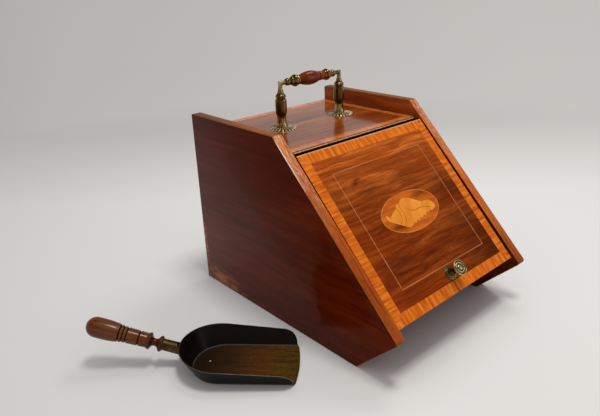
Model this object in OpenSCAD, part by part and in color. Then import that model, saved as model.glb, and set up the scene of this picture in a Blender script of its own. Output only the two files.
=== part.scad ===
// Slope-front coal scuttle: a mahogany case with a hinged, inlaid lid, a brass carrying
// handle, a sheet-iron liner and a bracket for the shovel, with the shovel beside it.
// The origin is the centre of the base, +Z is up and the lid faces -Y. Millimetres.

/* [Case] */
// Overall width, over the side panels
case_w = 345; // [310:1:380]
// Height of the side panels
case_h = 324; // [305:1:345]
// Length of the level top edge of a side panel
top_len = 223; // [205:1:245]
// Length of the sloping front edge of a side panel
slope_len = 350; // [335:1:365]
// Fall of the sloping front below the level
slope_angle = 45; // [43:0.5:47]
// Rise of the undercut toe above the floor
toe_angle = 45; // [43:0.5:50]
// Thickness of a side panel
panel_t = 18; // [15:0.5:22]
// Radius of the nose, where the slope meets the undercut
nose_r = 6; // [3:0.5:9]
// Radius of the panels' other front corners
corner_r = 2.5; // [1:0.5:5]
// Depth of the housings that hold the boards in the panels
housing_d = 6; // [3:0.5:9]
// Thickness of the back panel
back_t = 12; // [9:0.5:15]
// Thickness of the bottom board
bottom_t = 10; // [8:0.5:14]
// Thickness of the toe board
toe_t = 12; // [9:0.5:15]
// Distance of the toe board behind the panels' undercut edges
toe_setback = 21; // [19:0.5:26]

/* [Top board] */
// Depth of the top surface below the panels' top edges
top_drop = 28.4; // [24:0.2:34]
// Thickness of the top board with its veneer
top_t = 14; // [13:0.5:18]
// Width of the crossbanding on the top board
top_band = 14; // [10:0.5:18]
// Thickness of all veneer and inlay
veneer_t = 1; // [0.6:0.1:1.6]
// Side of the triangular glue blocks
block_side = 15; // [10:1:20]
// Length of a glue block
block_len = 55; // [40:1:65]

/* [Lid] */
// Thickness of the lid with its veneer
lid_t = 14; // [12:0.5:17]
// Gap between the lid and a side panel
lid_side_gap = 3.5; // [2:0.5:6]
// Distance of the lid's lower edge from the nose
lid_nose_gap = 17; // [14:0.5:18.5]
// Depth of the lid's surface below the slope at its top edge
lid_recess = 1; // [0:0.1:2]
// Extra depth of the lid's surface at its lower edge
lid_sink = 3.5; // [0:0.1:5]
// Width of the crossbanding on the lid
lid_band = 18; // [14:0.5:22]
// Inset of the stringing from the lid's long edges
string_inset = 45; // [38:1:55]
// Width of the stringing lines
string_w = 1.6; // [1:0.1:2.4]
// Half length of the oval inlay
oval_a = 68.5; // [60:0.5:75]
// Half height of the oval inlay
oval_b = 34.3; // [30:0.1:40]
// Half length of the shell
shell_half = 57; // [45:0.5:58]
// Width of the strips that carry the closed lid
rest_w = 9; // [6:0.5:11]
// Height of those strips
rest_h = 12; // [8:0.5:16]

/* [Hinge] */
// Radius of the hinge knuckles
knuckle_r = 3.5; // [3:0.1:4]
// Number of knuckles, an odd number
knuckle_count = 19; // [11:2:25]
// Radius of the hinge pin
pin_r = 1.5; // [1.2:0.1:1.8]
// Thickness of a hinge leaf
leaf_t = 1.2; // [0.9:0.1:1.5]
// Height of the leaf on the top board
fixed_leaf_h = 9.5; // [8.5:0.1:11]
// Width of the leaf let into the lid
moving_leaf_w = 13; // [11:0.5:18]
// Distance from the pin to the lid's top edge
lid_standoff = 7.1; // [6.5:0.1:9]
// Number of screws in each leaf
leaf_screws = 6; // [4:1:8]

/* [Handle] */
// Distance between the handle posts
handle_span = 143.4; // [136:0.2:152]
// Sideways offset of the handle on the top board
handle_shift = 12; // [0:0.5:15]
// Distance of the handle from the back of the case
handle_back = 112; // [100:1:125]
// Height of the bar's axis over the top board
handle_h = 78; // [72:0.5:84]
// Radius of the rosettes
rosette_r = 26.5; // [24:0.5:29]
// Height of the rosettes
rosette_h = 3.6; // [3:0.1:6]
// Thickness of the rosettes at their scalloped rim
rosette_rim = 2.2; // [1.2:0.1:2.6]
// Number of petals round a rosette
petals = 24; // [18:1:30]
// Largest radius of a post
barrel_r = 10.1; // [9:0.1:11]
// Radius of the bar and of the necks
neck_r = 3.7; // [3.2:0.1:4.4]
// Largest radius of the wooden grip
grip_r = 12.5; // [11.5:0.1:14]
// Length of the wooden grip
grip_len = 62; // [56:1:66]
// Radius of the threaded studs under the posts
stud_r = 3; // [2.5:0.1:3.4]

/* [Knob] */
// Distance of the knob from the lid's lower edge
knob_up = 31; // [26:0.5:38]
// Radius of the knob's ringed face
knob_r = 12.8; // [11:0.1:15]
// Projection of the knob from the lid
knob_h = 25; // [22:0.5:30]
// Radius of the rose under the knob
rose_r = 12; // [10:0.1:14]
// Thickness of the rose
rose_t = 3; // [2.4:0.1:3.6]

/* [Liner] */
// Thickness of the liner's sheet iron
liner_t = 1.2; // [0.8:0.1:2]
// Height of the liner
liner_h = 185; // [150:1:195]
// Gap between the liner and the case
liner_gap = 2; // [1:0.5:4]
// Distance of the liner's rim below the lid
liner_lid_gap = 14; // [10:1:20]
// Radius of the rolled rim along the liner's back
liner_bead_r = 2; // [1.8:0.1:2.6]

/* [Shovel bracket] */
// Height of the bracket's lower edge on the back panel
bracket_z = 205; // [180:1:225]
// Height of the bracket's strap
bracket_h = 16; // [12:0.5:20]
// Thickness of the bracket's strap
strap_t = 1.6; // [1.2:0.1:2.2]
// Clearance round the shovel's handle in the bracket
bracket_gap = 2; // [1.5:0.1:4]

/* [Shovel] */
// Place of the shovel's front edge along X
shovel_x = -232.6; // [-260:0.2:-232]
// Place of the shovel's front edge along Y
shovel_y = -132; // [-150:0.5:-115]
// Heading of the shovel's handle
shovel_turn = 134.4; // [125:0.1:145]
// Width of the pan's floor
pan_w = 92; // [84:1:98]
// Length of the pan's floor
pan_len = 159; // [150:1:172]
// Height of the pan's walls at the front
pan_front_h = 24; // [21:0.5:28]
// Height of the pan's walls at the back
pan_back_h = 36; // [35:0.5:42]
// Outward lean of the pan's walls
pan_flare = 27; // [20:0.5:30]
// Forward bulge of the pan's front edge
pan_bulge = 4; // [2:0.5:7]
// Thickness of the pan's sheet
pan_t = 1.6; // [1.2:0.1:2.2]
// Height at which the handle meets the pan
socket_z = 27; // [26:0.5:29]
// Rise of the handle above the level
handle_rise = 17; // [12:0.5:20]
// Length of the brass socket
socket_len = 31; // [28:0.5:34]
// Largest radius of the shovel's handle
butt_r = 15.6; // [14:0.1:16.5]
// Length of the wooden handle beyond the socket
shaft_len = 118; // [112:1:130]

/* [Hidden] */
$fn = 48;

// Clearances: round moving faces, the hinge pin, mitred joints, bolts, and cuts past a face
air = 0.3;
pin_air = 0.05;
joint_gap = 0.1;
bolt_air = 0.2;
over = 1;
far = 1000;

// The side panel's corners, each as [y, z]
base_len = top_len + slope_len * cos(slope_angle)
    - (case_h - slope_len * sin(slope_angle)) / tan(toe_angle);
back_y = base_len / 2;
heel = [back_y, 0];
crown = [back_y, case_h];
brow = [back_y - top_len, case_h];
nose = brow - slope_len * [cos(slope_angle), sin(slope_angle)];
toe = [-base_len / 2, 0];
inner_w = case_w - 2 * panel_t;
top_z = case_h - top_drop;

// The hinge axis: level with the top board, with the lid's underside just below the knuckles
hinge_z = top_z - knuckle_r;
axis_depth = lid_t - knuckle_r - air;
axis_along = (case_h - (lid_recess + axis_depth) * cos(slope_angle) - hinge_z) / sin(slope_angle);
hinge_y = brow.x - axis_along * cos(slope_angle) + (lid_recess + axis_depth) * sin(slope_angle);
top_front = hinge_y + knuckle_r + air;
lid_len = slope_len - axis_along - lid_standoff - lid_nose_gap;
lid_w = inner_w - 2 * lid_side_gap;
lid_pitch = slope_angle + asin(lid_sink / lid_len);
hinge_end_gap = 4;
hinge_len = lid_w - 2 * hinge_end_gap;
knuckle_len = hinge_len / knuckle_count;
back_in = back_y - back_t;

// The handle
post_y = back_y - handle_back;
post_x = [handle_shift - handle_span / 2, handle_shift + handle_span / 2];
bar_z = top_z + handle_h;
washer_t = 1.2;
nut_t = 5;

// The inlays and the liner
field_w = lid_w - 2 * lid_band;
field_len = lid_len - 2 * lid_band;
string_rect = [lid_w - 2 * string_inset, lid_len - 2 * string_inset];
lid_mid = -lid_len / 2;
liner_w = inner_w - 2 * rest_w - 2 * liner_gap;
liner_top = bottom_t + liner_h;

// The shovel
pan_r = pan_w / 2;
flare = tan(pan_flare);
tenon_r = 6;
tenon_len = 20;

WOOD = [0.42, 0.20, 0.11];
FIELD = [0.50, 0.26, 0.13];
SATIN = [0.85, 0.50, 0.20];
PALE = [0.90, 0.68, 0.40];
BRASS = [0.55, 0.48, 0.28];
IRON = [0.25, 0.25, 0.26];

// ---- outlines ----

function unit(v) = v / norm(v);

// The corner p between a and b, as an arc of radius r in n steps
function arc_corner(a, p, b, r, n) =
    let (u = unit(a - p), v = unit(b - p), half = acos(u * v) / 2,
         c = p + unit(u + v) * r / sin(half),
         s = p + u * r / tan(half) - c, e = p + v * r / tan(half) - c,
         from = atan2(s.y, s.x), sweep = (atan2(e.y, e.x) - from + 540) % 360 - 180)
    [for (i = [0:n]) c + r * [cos(from + sweep * i / n), sin(from + sweep * i / n)]];

// An outline with each corner rounded to its own radius, 0 for a sharp one
function rounded(points, radii, n = 8) =
    let (m = len(points))
    [for (i = [0:m - 1]) each radii[i] == 0 ? [points[i]]
        : arc_corner(points[(i + m - 1) % m], points[i], points[(i + 1) % m], radii[i], n)];

function ellipse_points(a, b, n = 96) = [for (i = [0:n - 1]) [a * cos(360 * i / n), b * sin(360 * i / n)]];

// A smooth open curve through the points, n steps between each two
function smooth(p, n = 5) =
    [for (i = [0:len(p) - 2])
        let (a = p[max(i - 1, 0)], b = p[i], c = p[i + 1], d = p[min(i + 2, len(p) - 1)])
        for (k = [0:n - 1])
            let (t = k / n)
            0.5 * (2 * b + (c - a) * t + (2 * a - 5 * b + 4 * c - d) * t * t
                + (3 * b - a - 3 * c + d) * t * t * t),
     p[len(p) - 1]];

// A ribbon of width w along a curve
function ribbon(p, w) =
    let (m = len(p) - 1,
         side = [for (i = [0:m]) let (d = unit(p[min(i + 1, m)] - p[max(i - 1, 0)])) [-d.y, d.x] * w / 2])
    concat([for (i = [0:m]) p[i] + side[i]], [for (i = [m:-1:0]) p[i] - side[i]]);

// ---- placing ----

// Extrudes an outline drawn in [y, z] over the width w, centred on x = 0
module across(w) {
    translate([-w / 2, 0, 0]) rotate([90, 0, 90]) linear_extrude(w) children();
}

// The lid's frame: the origin at the middle of its top edge, +Y up the slope, +Z out of it
module in_lid() {
    translate([0, hinge_y, hinge_z]) rotate([lid_pitch, 0, 0])
        translate([0, -lid_standoff, axis_depth]) children();
}

// The half-plane below the lid's underside, in [y, z]
module under_lid(gap = 0) {
    translate([hinge_y, hinge_z]) rotate(lid_pitch)
        translate([-far, -far - knuckle_r - air - gap]) square([2 * far, far]);
}

// The shovel's frame: the origin at the front edge, +X towards the handle
module in_shovel() {
    translate([shovel_x, shovel_y, 0]) rotate(shovel_turn) children();
}

// The handle's frame on the shovel: +Z along the handle, from the pan outwards
module in_shaft() {
    translate([pan_len + socket_z * flare, 0, socket_z]) rotate([0, 90 - handle_rise, 0]) children();
}

// ---- fastenings ----

// A countersunk wood screw, its head's face at z = 0 and its point down
slot_w = 0.8;
slot_d = 0.7;

module screw(head_r, shank_r, length, slotted = true) {
    reach = head_r + over;
    difference() {
        rotate_extrude() polygon([[0, 0], [head_r, 0], [shank_r, shank_r - head_r],
            [shank_r, -length + 2 * shank_r], [0, -length]]);
        if (slotted) translate([-reach, -slot_w / 2, -slot_d]) cube([2 * reach, slot_w, slot_d + over]);
    }
}

module hinge_screw(slotted = true) {
    screw(2.3, 1.2, 9, slotted);
}

module bracket_screw(slotted = true) {
    screw(3.2, 1.6, 10, slotted);
}

function leaf_screw_x(i) = hinge_len * ((i + 0.5) / leaf_screws - 0.5);

// ---- case ----

module top_profile() {
    translate([top_front, top_z - top_t]) square([back_y - top_front, top_t - veneer_t]);
}

module back_profile() {
    translate([back_in, 0]) square([back_t, top_z - top_t]);
}

// A strip parallel to the undercut, from depth a to depth b behind the panels' edges
module toe_strip(a, b) {
    translate(toe) rotate(180 - toe_angle) translate([-far / 2, -b]) square([far, b - a]);
}

module toe_profile() {
    intersection() {
        toe_strip(toe_setback, toe_setback + toe_t);
        under_lid();
        translate([-far, 0]) square([2 * far, far]);
    }
}

module bottom_profile() {
    difference() {
        translate([toe.x, 0]) square([back_in - toe.x, bottom_t]);
        toe_strip(-far, toe_setback + toe_t);
    }
}

// A side panel that stands on x from 0 to panel_t, with its housings at x = 0
module side_panel() {
    difference() {
        rotate([90, 0, 90]) linear_extrude(panel_t)
            polygon(rounded([heel, crown, brow, nose, toe], [0, corner_r, corner_r, nose_r, corner_r]));
        translate([-over, 0, 0]) rotate([90, 0, 90]) linear_extrude(over + housing_d) {
            top_profile();
            back_profile();
            bottom_profile();
            toe_profile();
        }
    }
}

module left_side_panel() {
    color(WOOD) mirror([1, 0, 0]) placed_panel();
}

module right_side_panel() {
    color(WOOD) placed_panel();
}

module placed_panel() {
    translate([inner_w / 2, 0, 0]) side_panel();
}

module top_board() {
    color(WOOD) difference() {
        across(inner_w + 2 * housing_d) top_profile();
        for (x = post_x) translate([x, post_y, 0]) cylinder(r = stud_r + bolt_air, h = case_h);
        fixed_screws(false);
    }
}

// The four mitred strips of a crossbanded frame, laid between z = 0 and veneer_t
module mitred_frame(size, band) {
    reach = norm([band, band]) + 2 * over;
    linear_extrude(veneer_t) difference() {
        square(size, center = true);
        square(size - 2 * [band, band], center = true);
        for (i = [-1, 1], j = [-1, 1])
            translate([i * size.x / 2, j * size.y / 2]) rotate(i * j > 0 ? 45 : -45)
                square([2 * reach, joint_gap], center = true);
    }
}

top_size = [inner_w, back_y - top_front];

module on_top() {
    translate([0, (top_front + back_y) / 2, top_z - veneer_t]) children();
}

module top_crossbanding() {
    color(SATIN) on_top() mitred_frame(top_size, top_band);
}

module top_veneer() {
    color(FIELD) difference() {
        on_top() linear_extrude(veneer_t) square(top_size - 2 * [top_band, top_band], center = true);
        for (x = post_x) translate([x, post_y, 0]) cylinder(r = stud_r + bolt_air, h = case_h);
    }
}

module back_panel() {
    color(WOOD) difference() {
        across(inner_w + 2 * housing_d) back_profile();
        place_bracket_screws() bracket_screw(false);
    }
}

module bottom_board() {
    color(WOOD) across(inner_w + 2 * housing_d) bottom_profile();
}

module toe_board() {
    color(WOOD) across(inner_w + 2 * housing_d) toe_profile();
}

// The strips glued to the panels under the lid
module lid_rests() {
    margin = 32;
    color(WOOD) for (side = [-1, 1]) in_lid()
        translate([side * (inner_w - rest_w) / 2 - rest_w / 2, margin - lid_len, -lid_t - rest_h])
            cube([rest_w, lid_len - 2 * margin, rest_h]);
}

// The triangular blocks glued under the top board, along the side panels
module glue_blocks() {
    apart = 20;
    first = (top_front + back_in - apart) / 2 - block_len;
    color(WOOD) for (side = [0, 1], k = [0, 1]) mirror([side, 0, 0])
        translate([inner_w / 2, first + k * (block_len + apart), top_z - top_t]) rotate([-90, 0, 0])
            linear_extrude(block_len) polygon([[0, 0], [-block_side, 0], [0, block_side]]);
}

// ---- liner ----

liner_front = toe_setback + toe_t + liner_gap;

// The space between the bottom, the toe board and the back in [y, z], thinned by t
module liner_space(t, height) {
    difference() {
        translate([toe.x - far, bottom_t + t]) square([back_in - liner_gap - t - toe.x + far, height]);
        toe_strip(-far, liner_front + t);
    }
}

module liner_profile() {
    intersection() {
        liner_space(0, liner_h);
        under_lid(liner_lid_gap);
    }
}

// The sheet folded round the liner's front, floor and back, with the rolled rim
module liner() {
    length = liner_w - 2 * liner_t;
    color(IRON) {
        difference() {
            across(length) liner_profile();
            across(liner_w) liner_space(liner_t, liner_h);
        }
        translate([-length / 2, back_in - liner_gap - liner_bead_r, liner_top])
            rotate([0, 90, 0]) cylinder(r = liner_bead_r, h = length);
    }
}

// The flat sheets soldered to its two ends
module liner_ends() {
    color(IRON) for (side = [-1, 1]) translate([side * (liner_w - liner_t) / 2, 0, 0])
        across(liner_t) liner_profile();
}

// ---- hinge ----

module knuckle(i, r, gap) {
    translate([(i - knuckle_count / 2) * knuckle_len + gap / 2, hinge_y, hinge_z]) rotate([0, 90, 0])
        cylinder(r = r, h = knuckle_len - gap);
}

// The knuckles of one leaf, or with a larger radius the room for them in the other
module knuckles(parity, r = knuckle_r, gap = air) {
    for (i = [parity:2:knuckle_count - 1]) knuckle(i, r, gap);
}

module pin_bore() {
    translate([-hinge_len / 2 - over, hinge_y, hinge_z]) rotate([0, 90, 0])
        cylinder(r = pin_r + pin_air, h = hinge_len + 2 * over);
}

module fixed_screws(slotted) {
    drop = (fixed_leaf_h + knuckle_r) / 2;
    for (i = [0:leaf_screws - 1])
        translate([leaf_screw_x(i), top_front - leaf_t, hinge_z - drop]) rotate([90, 0, 0])
            hinge_screw(slotted);
}

module moving_screws(slotted) {
    for (i = [0:leaf_screws - 1])
        in_lid() translate([leaf_screw_x(i), -moving_leaf_w / 2, -lid_t]) rotate([180, 0, 0])
            hinge_screw(slotted);
}

module hinge_fixed_leaf() {
    color(BRASS) difference() {
        union() {
            difference() {
                translate([-hinge_len / 2, top_front - leaf_t, hinge_z - fixed_leaf_h])
                    cube([hinge_len, leaf_t, fixed_leaf_h]);
                knuckles(1, knuckle_r + air, -air);
            }
            knuckles(0);
        }
        pin_bore();
        fixed_screws(false);
    }
}

// The leaf let flush into the underside of the lid, as far as the knuckles, and short of the
// other leaf behind them
module moving_plate() {
    in_lid() translate([-hinge_len / 2, -moving_leaf_w, -lid_t])
        cube([hinge_len, moving_leaf_w + lid_standoff - leaf_t, leaf_t]);
}

module hinge_moving_leaf() {
    color(BRASS) difference() {
        union() {
            difference() {
                moving_plate();
                knuckles(0, knuckle_r + air, -air);
            }
            knuckles(1);
        }
        pin_bore();
        moving_screws(false);
    }
}

module hinge_pin() {
    color(BRASS) translate([-hinge_len / 2, hinge_y, hinge_z]) rotate([0, 90, 0])
        cylinder(r = pin_r, h = hinge_len);
}

module hinge_fixed_screws() {
    color(BRASS) fixed_screws(true);
}

module hinge_moving_screws() {
    color(BRASS) moving_screws(true);
}

// ---- lid ----

module on_lid() {
    in_lid() translate([0, lid_mid, -veneer_t]) linear_extrude(veneer_t) children();
}

module string_band(grow) {
    square(string_rect + grow * [1, 1], center = true);
}

module oval(shrink = 0) {
    polygon(ellipse_points(oval_a - shrink, oval_b - shrink));
}

module knob_hole() {
    at_knob() translate([0, 0, -2 * lid_t]) cylinder(r = knob_bolt_r + bolt_air, h = 3 * lid_t);
}

module lid_board() {
    color(WOOD) difference() {
        in_lid() translate([-lid_w / 2, -lid_len, -lid_t]) cube([lid_w, lid_len, lid_t - veneer_t]);
        moving_plate();
        moving_screws(false);
        knob_hole();
    }
}

module lid_veneer() {
    color(FIELD) difference() {
        on_lid() difference() {
            square([field_w, field_len], center = true);
            difference() {
                string_band(string_w);
                string_band(-string_w);
            }
            oval();
        }
        knob_hole();
    }
}

module lid_crossbanding() {
    color(SATIN) in_lid() translate([0, lid_mid, -veneer_t]) mitred_frame([lid_w, lid_len], lid_band);
}

module lid_stringing() {
    color(PALE) difference() {
        on_lid() difference() {
            string_band(string_w);
            string_band(-string_w);
        }
        knob_hole();
    }
}

module lid_oval_border() {
    color(PALE) on_lid() difference() {
        oval();
        oval(string_w);
    }
}

// The shell is a whelk lying on its side, its spire to the left. Its outline is drawn in
// steps of about 1/57 of its half length, and its frilled lip is a row of teeth.
shell_teeth = 6;
shell_lip = [[48, -13], [-10, -22]];
shell_back = [[-57, 5], [-55, 8], [-52, 6], [-50, 2], [-41, 7], [-28, 12]];
shell_whorl = [[-28, 12], [-25, 16.5], [-20, 18.5], [-15, 18.5]];
shell_crown = [[-15, 18.5], [-10, 22.5], [-2, 24], [6, 22.5], [15, 18], [25, 11.5], [33, 7],
    [41, 6.5], [48, 5], [54, 0], [57, -6], [54, -11], [48, -13]];
shell_belly = [[-10, -22], [-21, -24], [-30, -19], [-38, -14], [-48, -7], [-55, -2], [-57, 5]];

// The frilled lip from one end to the other, each tooth leaning back
function frill() =
    let (d = (shell_lip[1] - shell_lip[0]) / shell_teeth, out = unit([d.y, -d.x]))
    [for (i = [0:shell_teeth - 1]) each [
        shell_lip[0] + d * (i + 0.35) - out * 0.6,
        shell_lip[0] + d * (i + 0.85) - out * -2.6]];

shell_outline = concat(smooth(shell_back), smooth(shell_whorl), smooth(shell_crown), frill(),
    smooth(shell_belly));

// The lines between the shell's pieces: two whorls, the fold and the edge of the mouth
shell_lines = [
    [[-30, 14], [-26, 8], [-25.5, 0], [-29, -8], [-38, -16]],
    [[-16, 21], [-18.5, 12], [-18, 2], [-20, -8], [-31, -22]],
    [[-8, 8], [0, 1], [10, -2], [20, -1.5], [31, -3], [44, -7]],
    [[17, 9], [20, 4], [22, -1.6]]];

module shell_plan(inlay) {
    scale(shell_half / 57) difference() {
        polygon(shell_outline);
        if (inlay) for (path = shell_lines) polygon(ribbon(smooth(path), 0.7));
    }
}

module lid_oval_ground() {
    color(FIELD) on_lid() difference() {
        oval(string_w);
        shell_plan(false);
    }
}

module lid_shell() {
    color(PALE) on_lid() shell_plan(true);
}

// ---- knob ----

// The bolt that holds the knob from inside the lid
knob_bolt_r = 2;
bolt_head = [4.5, 2.4];

module at_knob() {
    in_lid() translate([0, knob_up - lid_len, 0]) children();
}

module knob_rose() {
    color(BRASS) at_knob() difference() {
        rotate_extrude() polygon([[0, 0], [rose_r, 0], [rose_r, 0.4 * rose_t], [rose_r - 1.6, 0.7 * rose_t],
            [rose_r - 3.2, 0.7 * rose_t], [rose_r - 3.6, rose_t], [0, rose_t]]);
        translate([0, 0, -over]) cylinder(r = knob_bolt_r + bolt_air, h = rose_t + 2 * over);
    }
}

// The knob: a waisted stem under a face of raised rings
module lid_knob() {
    face = knob_h - 5;
    ring = (knob_r - 2) / 3;
    color(BRASS) at_knob() difference() {
        rotate_extrude() polygon(concat(
            [[0, rose_t], [rose_r - 4.5, rose_t], [rose_r - 5, rose_t + 1.5], [5, rose_t + 4],
             [4.2, rose_t + 8], [5, face - 4], [8, face - 1.5], [knob_r - 1, face],
             [knob_r, face + 1.2], [knob_r, face + 2.6]],
            [for (k = [0:2]) let (r = knob_r - 1.2 - k * ring, z = face + 4 + 0.4 * k) each
                [[r, z], [r - 0.4 * ring, z], [r - 0.6 * ring, z - 1.2], [r - 0.85 * ring, z - 1.2]]],
            [[0, knob_h]]));
        translate([0, 0, rose_t - over]) cylinder(r = knob_bolt_r, h = knob_h / 2);
    }
}

module knob_screw() {
    head_r = bolt_head[0];
    head_h = bolt_head[1];
    color(BRASS) at_knob() translate([0, 0, -lid_t]) difference() {
        union() {
            translate([0, 0, -head_h]) cylinder(r = head_r, h = head_h);
            translate([0, 0, -over]) cylinder(r = knob_bolt_r, h = lid_t + rose_t + knob_h / 2 - over);
        }
        translate([-head_r - over, -slot_w / 2, -head_h - over])
            cube([2 * (head_r + over), slot_w, slot_d + over]);
    }
}

// ---- handle ----

module at_post(side) {
    translate([post_x[side], post_y, top_z]) children();
}

// A domed rosette with a scalloped rim
module rosette() {
    dome = [for (t = [0:0.1:1])
        [neck_r + (rosette_r - 3 - neck_r) * sin(90 * t), rosette_h * pow(cos(90 * t), 0.5)]];
    difference() {
        union() {
            linear_extrude(rosette_rim) polygon([for (i = [0:8 * petals - 1])
                let (a = 45 * i / petals, r = rosette_r - 2.2 + 2.2 * abs(cos(petals * a / 2)))
                r * [cos(a), sin(a)]]);
            rotate_extrude() polygon(concat([[0, 0], [0, rosette_h]], dome));
        }
        translate([0, 0, -over]) cylinder(r = stud_r + bolt_air, h = rosette_h + 2 * over);
    }
}

// A turned post on its rosette, with a threaded stud below it, up to the shoulder
shoulder_z = 57;

module post() {
    b = barrel_r;
    foot = rosette_h;
    rotate_extrude() polygon(concat(
        [[0, -top_t - washer_t - nut_t - 2], [stud_r, -top_t - washer_t - nut_t - 2], [stud_r, foot]],
        [[b + 0.7, foot], [b + 0.7, foot + 1.8], [b - 0.2, foot + 3.2], [b - 1.2, foot + 6],
         [b - 1.9, foot + 10], [b - 2.3, foot + 14.8], [b - 1.5, foot + 15.8], [b - 1.5, foot + 17.6]],
        [[b - 2.4, foot + 18.4], [b - 1.2, foot + 20.2], [b - 0.4, foot + 23], [b, foot + 28],
         [b - 0.1, shoulder_z - 12], [b - 0.4, shoulder_z - 7.4], [b - 1.3, shoulder_z - 5.2],
         [b - 2.4, shoulder_z - 4.4], [b - 2.4, shoulder_z - 3.4], [b - 1, shoulder_z - 2.6],
         [b - 1, shoulder_z - 0.6], [b - 1.6, shoulder_z], [0, shoulder_z]]));
}

// The bar's parts are turned about its axis, with z measured from the post inwards
grip_from = (handle_span - grip_len) / 2;

module arm_turning() {
    cup = grip_from;
    n = neck_r;
    rotate_extrude() polygon([[0, 0], [n, 0], [n, cup - 29.5], [n + 1.7, cup - 27.6],
        [n + 2.7, cup - 24.6], [n + 2.7, cup - 22.6], [n + 1.7, cup - 19.6], [n - 0.2, cup - 18],
        [n + 1.8, cup - 17.2], [n + 3.4, cup - 15.4], [n + 3.4, cup - 13.6], [n + 2.4, cup - 12.9],
        [n + 2.4, cup - 12.1], [n + 4.2, cup - 11.6], [n + 6, cup - 9.6], [n + 6.6, cup - 7.6],
        [n + 6.4, cup - 5.8], [n + 5.7, cup - 4.4], [n + 4.4, cup - 4], [n + 4.4, cup - 3.2],
        [n + 5.3, cup - 2.8], [n + 5.2, cup - 1], [n + 4.4, cup], [0, cup]]);
}

// The neck over a post and the arm to the grip, mitred at the corner; the arm points to +X
module elbow() {
    s = barrel_r - 1.6;
    difference() {
        union() {
            intersection() {
                rotate_extrude() polygon([[0, shoulder_z], [s, shoulder_z], [s, shoulder_z + 1.2],
                    [s - 1.6, shoulder_z + 2.6], [s - 2.8, shoulder_z + 5], [neck_r + 0.8, shoulder_z + 9],
                    [neck_r, shoulder_z + 13.5], [neck_r, handle_h + 2 * neck_r],
                    [0, handle_h + 2 * neck_r]]);
                translate([0, 0, handle_h]) rotate([0, 45, 0]) translate([-far, -far, -2 * far])
                    cube([2 * far, 2 * far, 2 * far]);
            }
            intersection() {
                translate([-2 * neck_r, 0, handle_h]) rotate([0, 90, 0]) cylinder(r = neck_r, h = 5 * neck_r);
                translate([0, 0, handle_h]) rotate([0, 45, 0]) translate([-far, -far, 0])
                    cube([2 * far, 2 * far, 2 * far]);
            }
            translate([0, 0, handle_h]) rotate([0, 90, 0]) arm_after_corner();
        }
        translate([grip_from - rod_end, 0, handle_h]) rotate([0, 90, 0])
            cylinder(r = rod_r, h = rod_end + over);
    }
}

// The arm from just inside the corner to the grip
module arm_after_corner() {
    difference() {
        arm_turning();
        translate([0, 0, -over]) cylinder(r = far / 10, h = over + 2 * neck_r);
    }
}

rod_r = 2.5;
rod_end = 9;

module left_rosette() {
    color(BRASS) at_post(0) rosette();
}

module right_rosette() {
    color(BRASS) at_post(1) rosette();
}

module left_post() {
    color(BRASS) at_post(0) post();
}

module right_post() {
    color(BRASS) at_post(1) post();
}

module left_elbow() {
    color(BRASS) at_post(0) elbow();
}

module right_elbow() {
    color(BRASS) at_post(1) mirror([1, 0, 0]) elbow();
}

module along_bar(length) {
    translate([handle_shift - length / 2, post_y, bar_z]) rotate([0, 90, 0]) children();
}

// The grip swells towards its left half, and a groove sets off a collar at its right end
module grip() {
    r = grip_r;
    l = grip_len;
    color(WOOD) along_bar(l) difference() {
        rotate_extrude() polygon(concat([[0, 0]],
            smooth([[r - 5.6, 0], [r - 3.6, 0.12 * l], [r - 1.4, 0.25 * l], [r, 0.44 * l],
                [r - 0.9, 0.6 * l], [r - 3.6, 0.77 * l]]),
            [[r - 5, 0.78 * l], [r - 5, 0.8 * l]],
            smooth([[r - 4.2, 0.81 * l], [r - 4.3, 0.88 * l], [r - 5.2, l]]), [[0, l]]));
        translate([0, 0, -over]) cylinder(r = rod_r, h = l + 2 * over);
    }
}

module grip_rod() {
    length = grip_len + 2 * rod_end;
    color(IRON) along_bar(length) cylinder(r = rod_r, h = length);
}

module handle_washers() {
    color(BRASS) for (side = [0, 1]) at_post(side) translate([0, 0, -top_t - washer_t]) difference() {
        cylinder(r = 3 * stud_r, h = washer_t);
        translate([0, 0, -over]) cylinder(r = stud_r + bolt_air, h = washer_t + 2 * over);
    }
}

module handle_nuts() {
    color(BRASS) for (side = [0, 1]) at_post(side) translate([0, 0, -top_t - washer_t - nut_t]) difference() {
        cylinder(r = 2 * stud_r, h = nut_t, $fn = 6);
        translate([0, 0, -over]) cylinder(r = stud_r, h = nut_t + 2 * over);
    }
}

// ---- shovel bracket ----

loop_r = butt_r + bracket_gap;
loop_out = loop_r - 2;
ear_x = loop_r + strap_t + 7.5;

module place_bracket_screws() {
    for (side = [-1, 1])
        translate([side * ear_x, back_y + strap_t, bracket_z + bracket_h / 2]) rotate([-90, 0, 0]) children();
}

module loop_plan(r) {
    translate([0, loop_out]) circle(r = r);
    translate([-r, -over]) square([2 * r, loop_out + over]);
}

module shovel_bracket() {
    ear = ear_x + 7.5;
    color(BRASS) difference() {
        translate([0, back_y, bracket_z]) linear_extrude(bracket_h) intersection() {
            difference() {
                union() {
                    loop_plan(loop_r + strap_t);
                    translate([-ear, 0]) square([2 * ear, strap_t]);
                }
                loop_plan(loop_r);
            }
            translate([-far, 0]) square([2 * far, far]);
        }
        place_bracket_screws() bracket_screw(false);
    }
}

module bracket_screws() {
    color(BRASS) place_bracket_screws() bracket_screw(true);
}

// ---- shovel ----

// The pan's wall and floor in [distance from the middle, z]
module pan_profile(r = pan_r, t = pan_t) {
    h = 2 * pan_back_h;
    slant = t / cos(pan_flare);
    polygon([[0, 0], [r, 0], [r + h * flare, h], [r + h * flare - slant, h],
        [r + t * flare - slant, t], [0, t]]);
}

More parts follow.
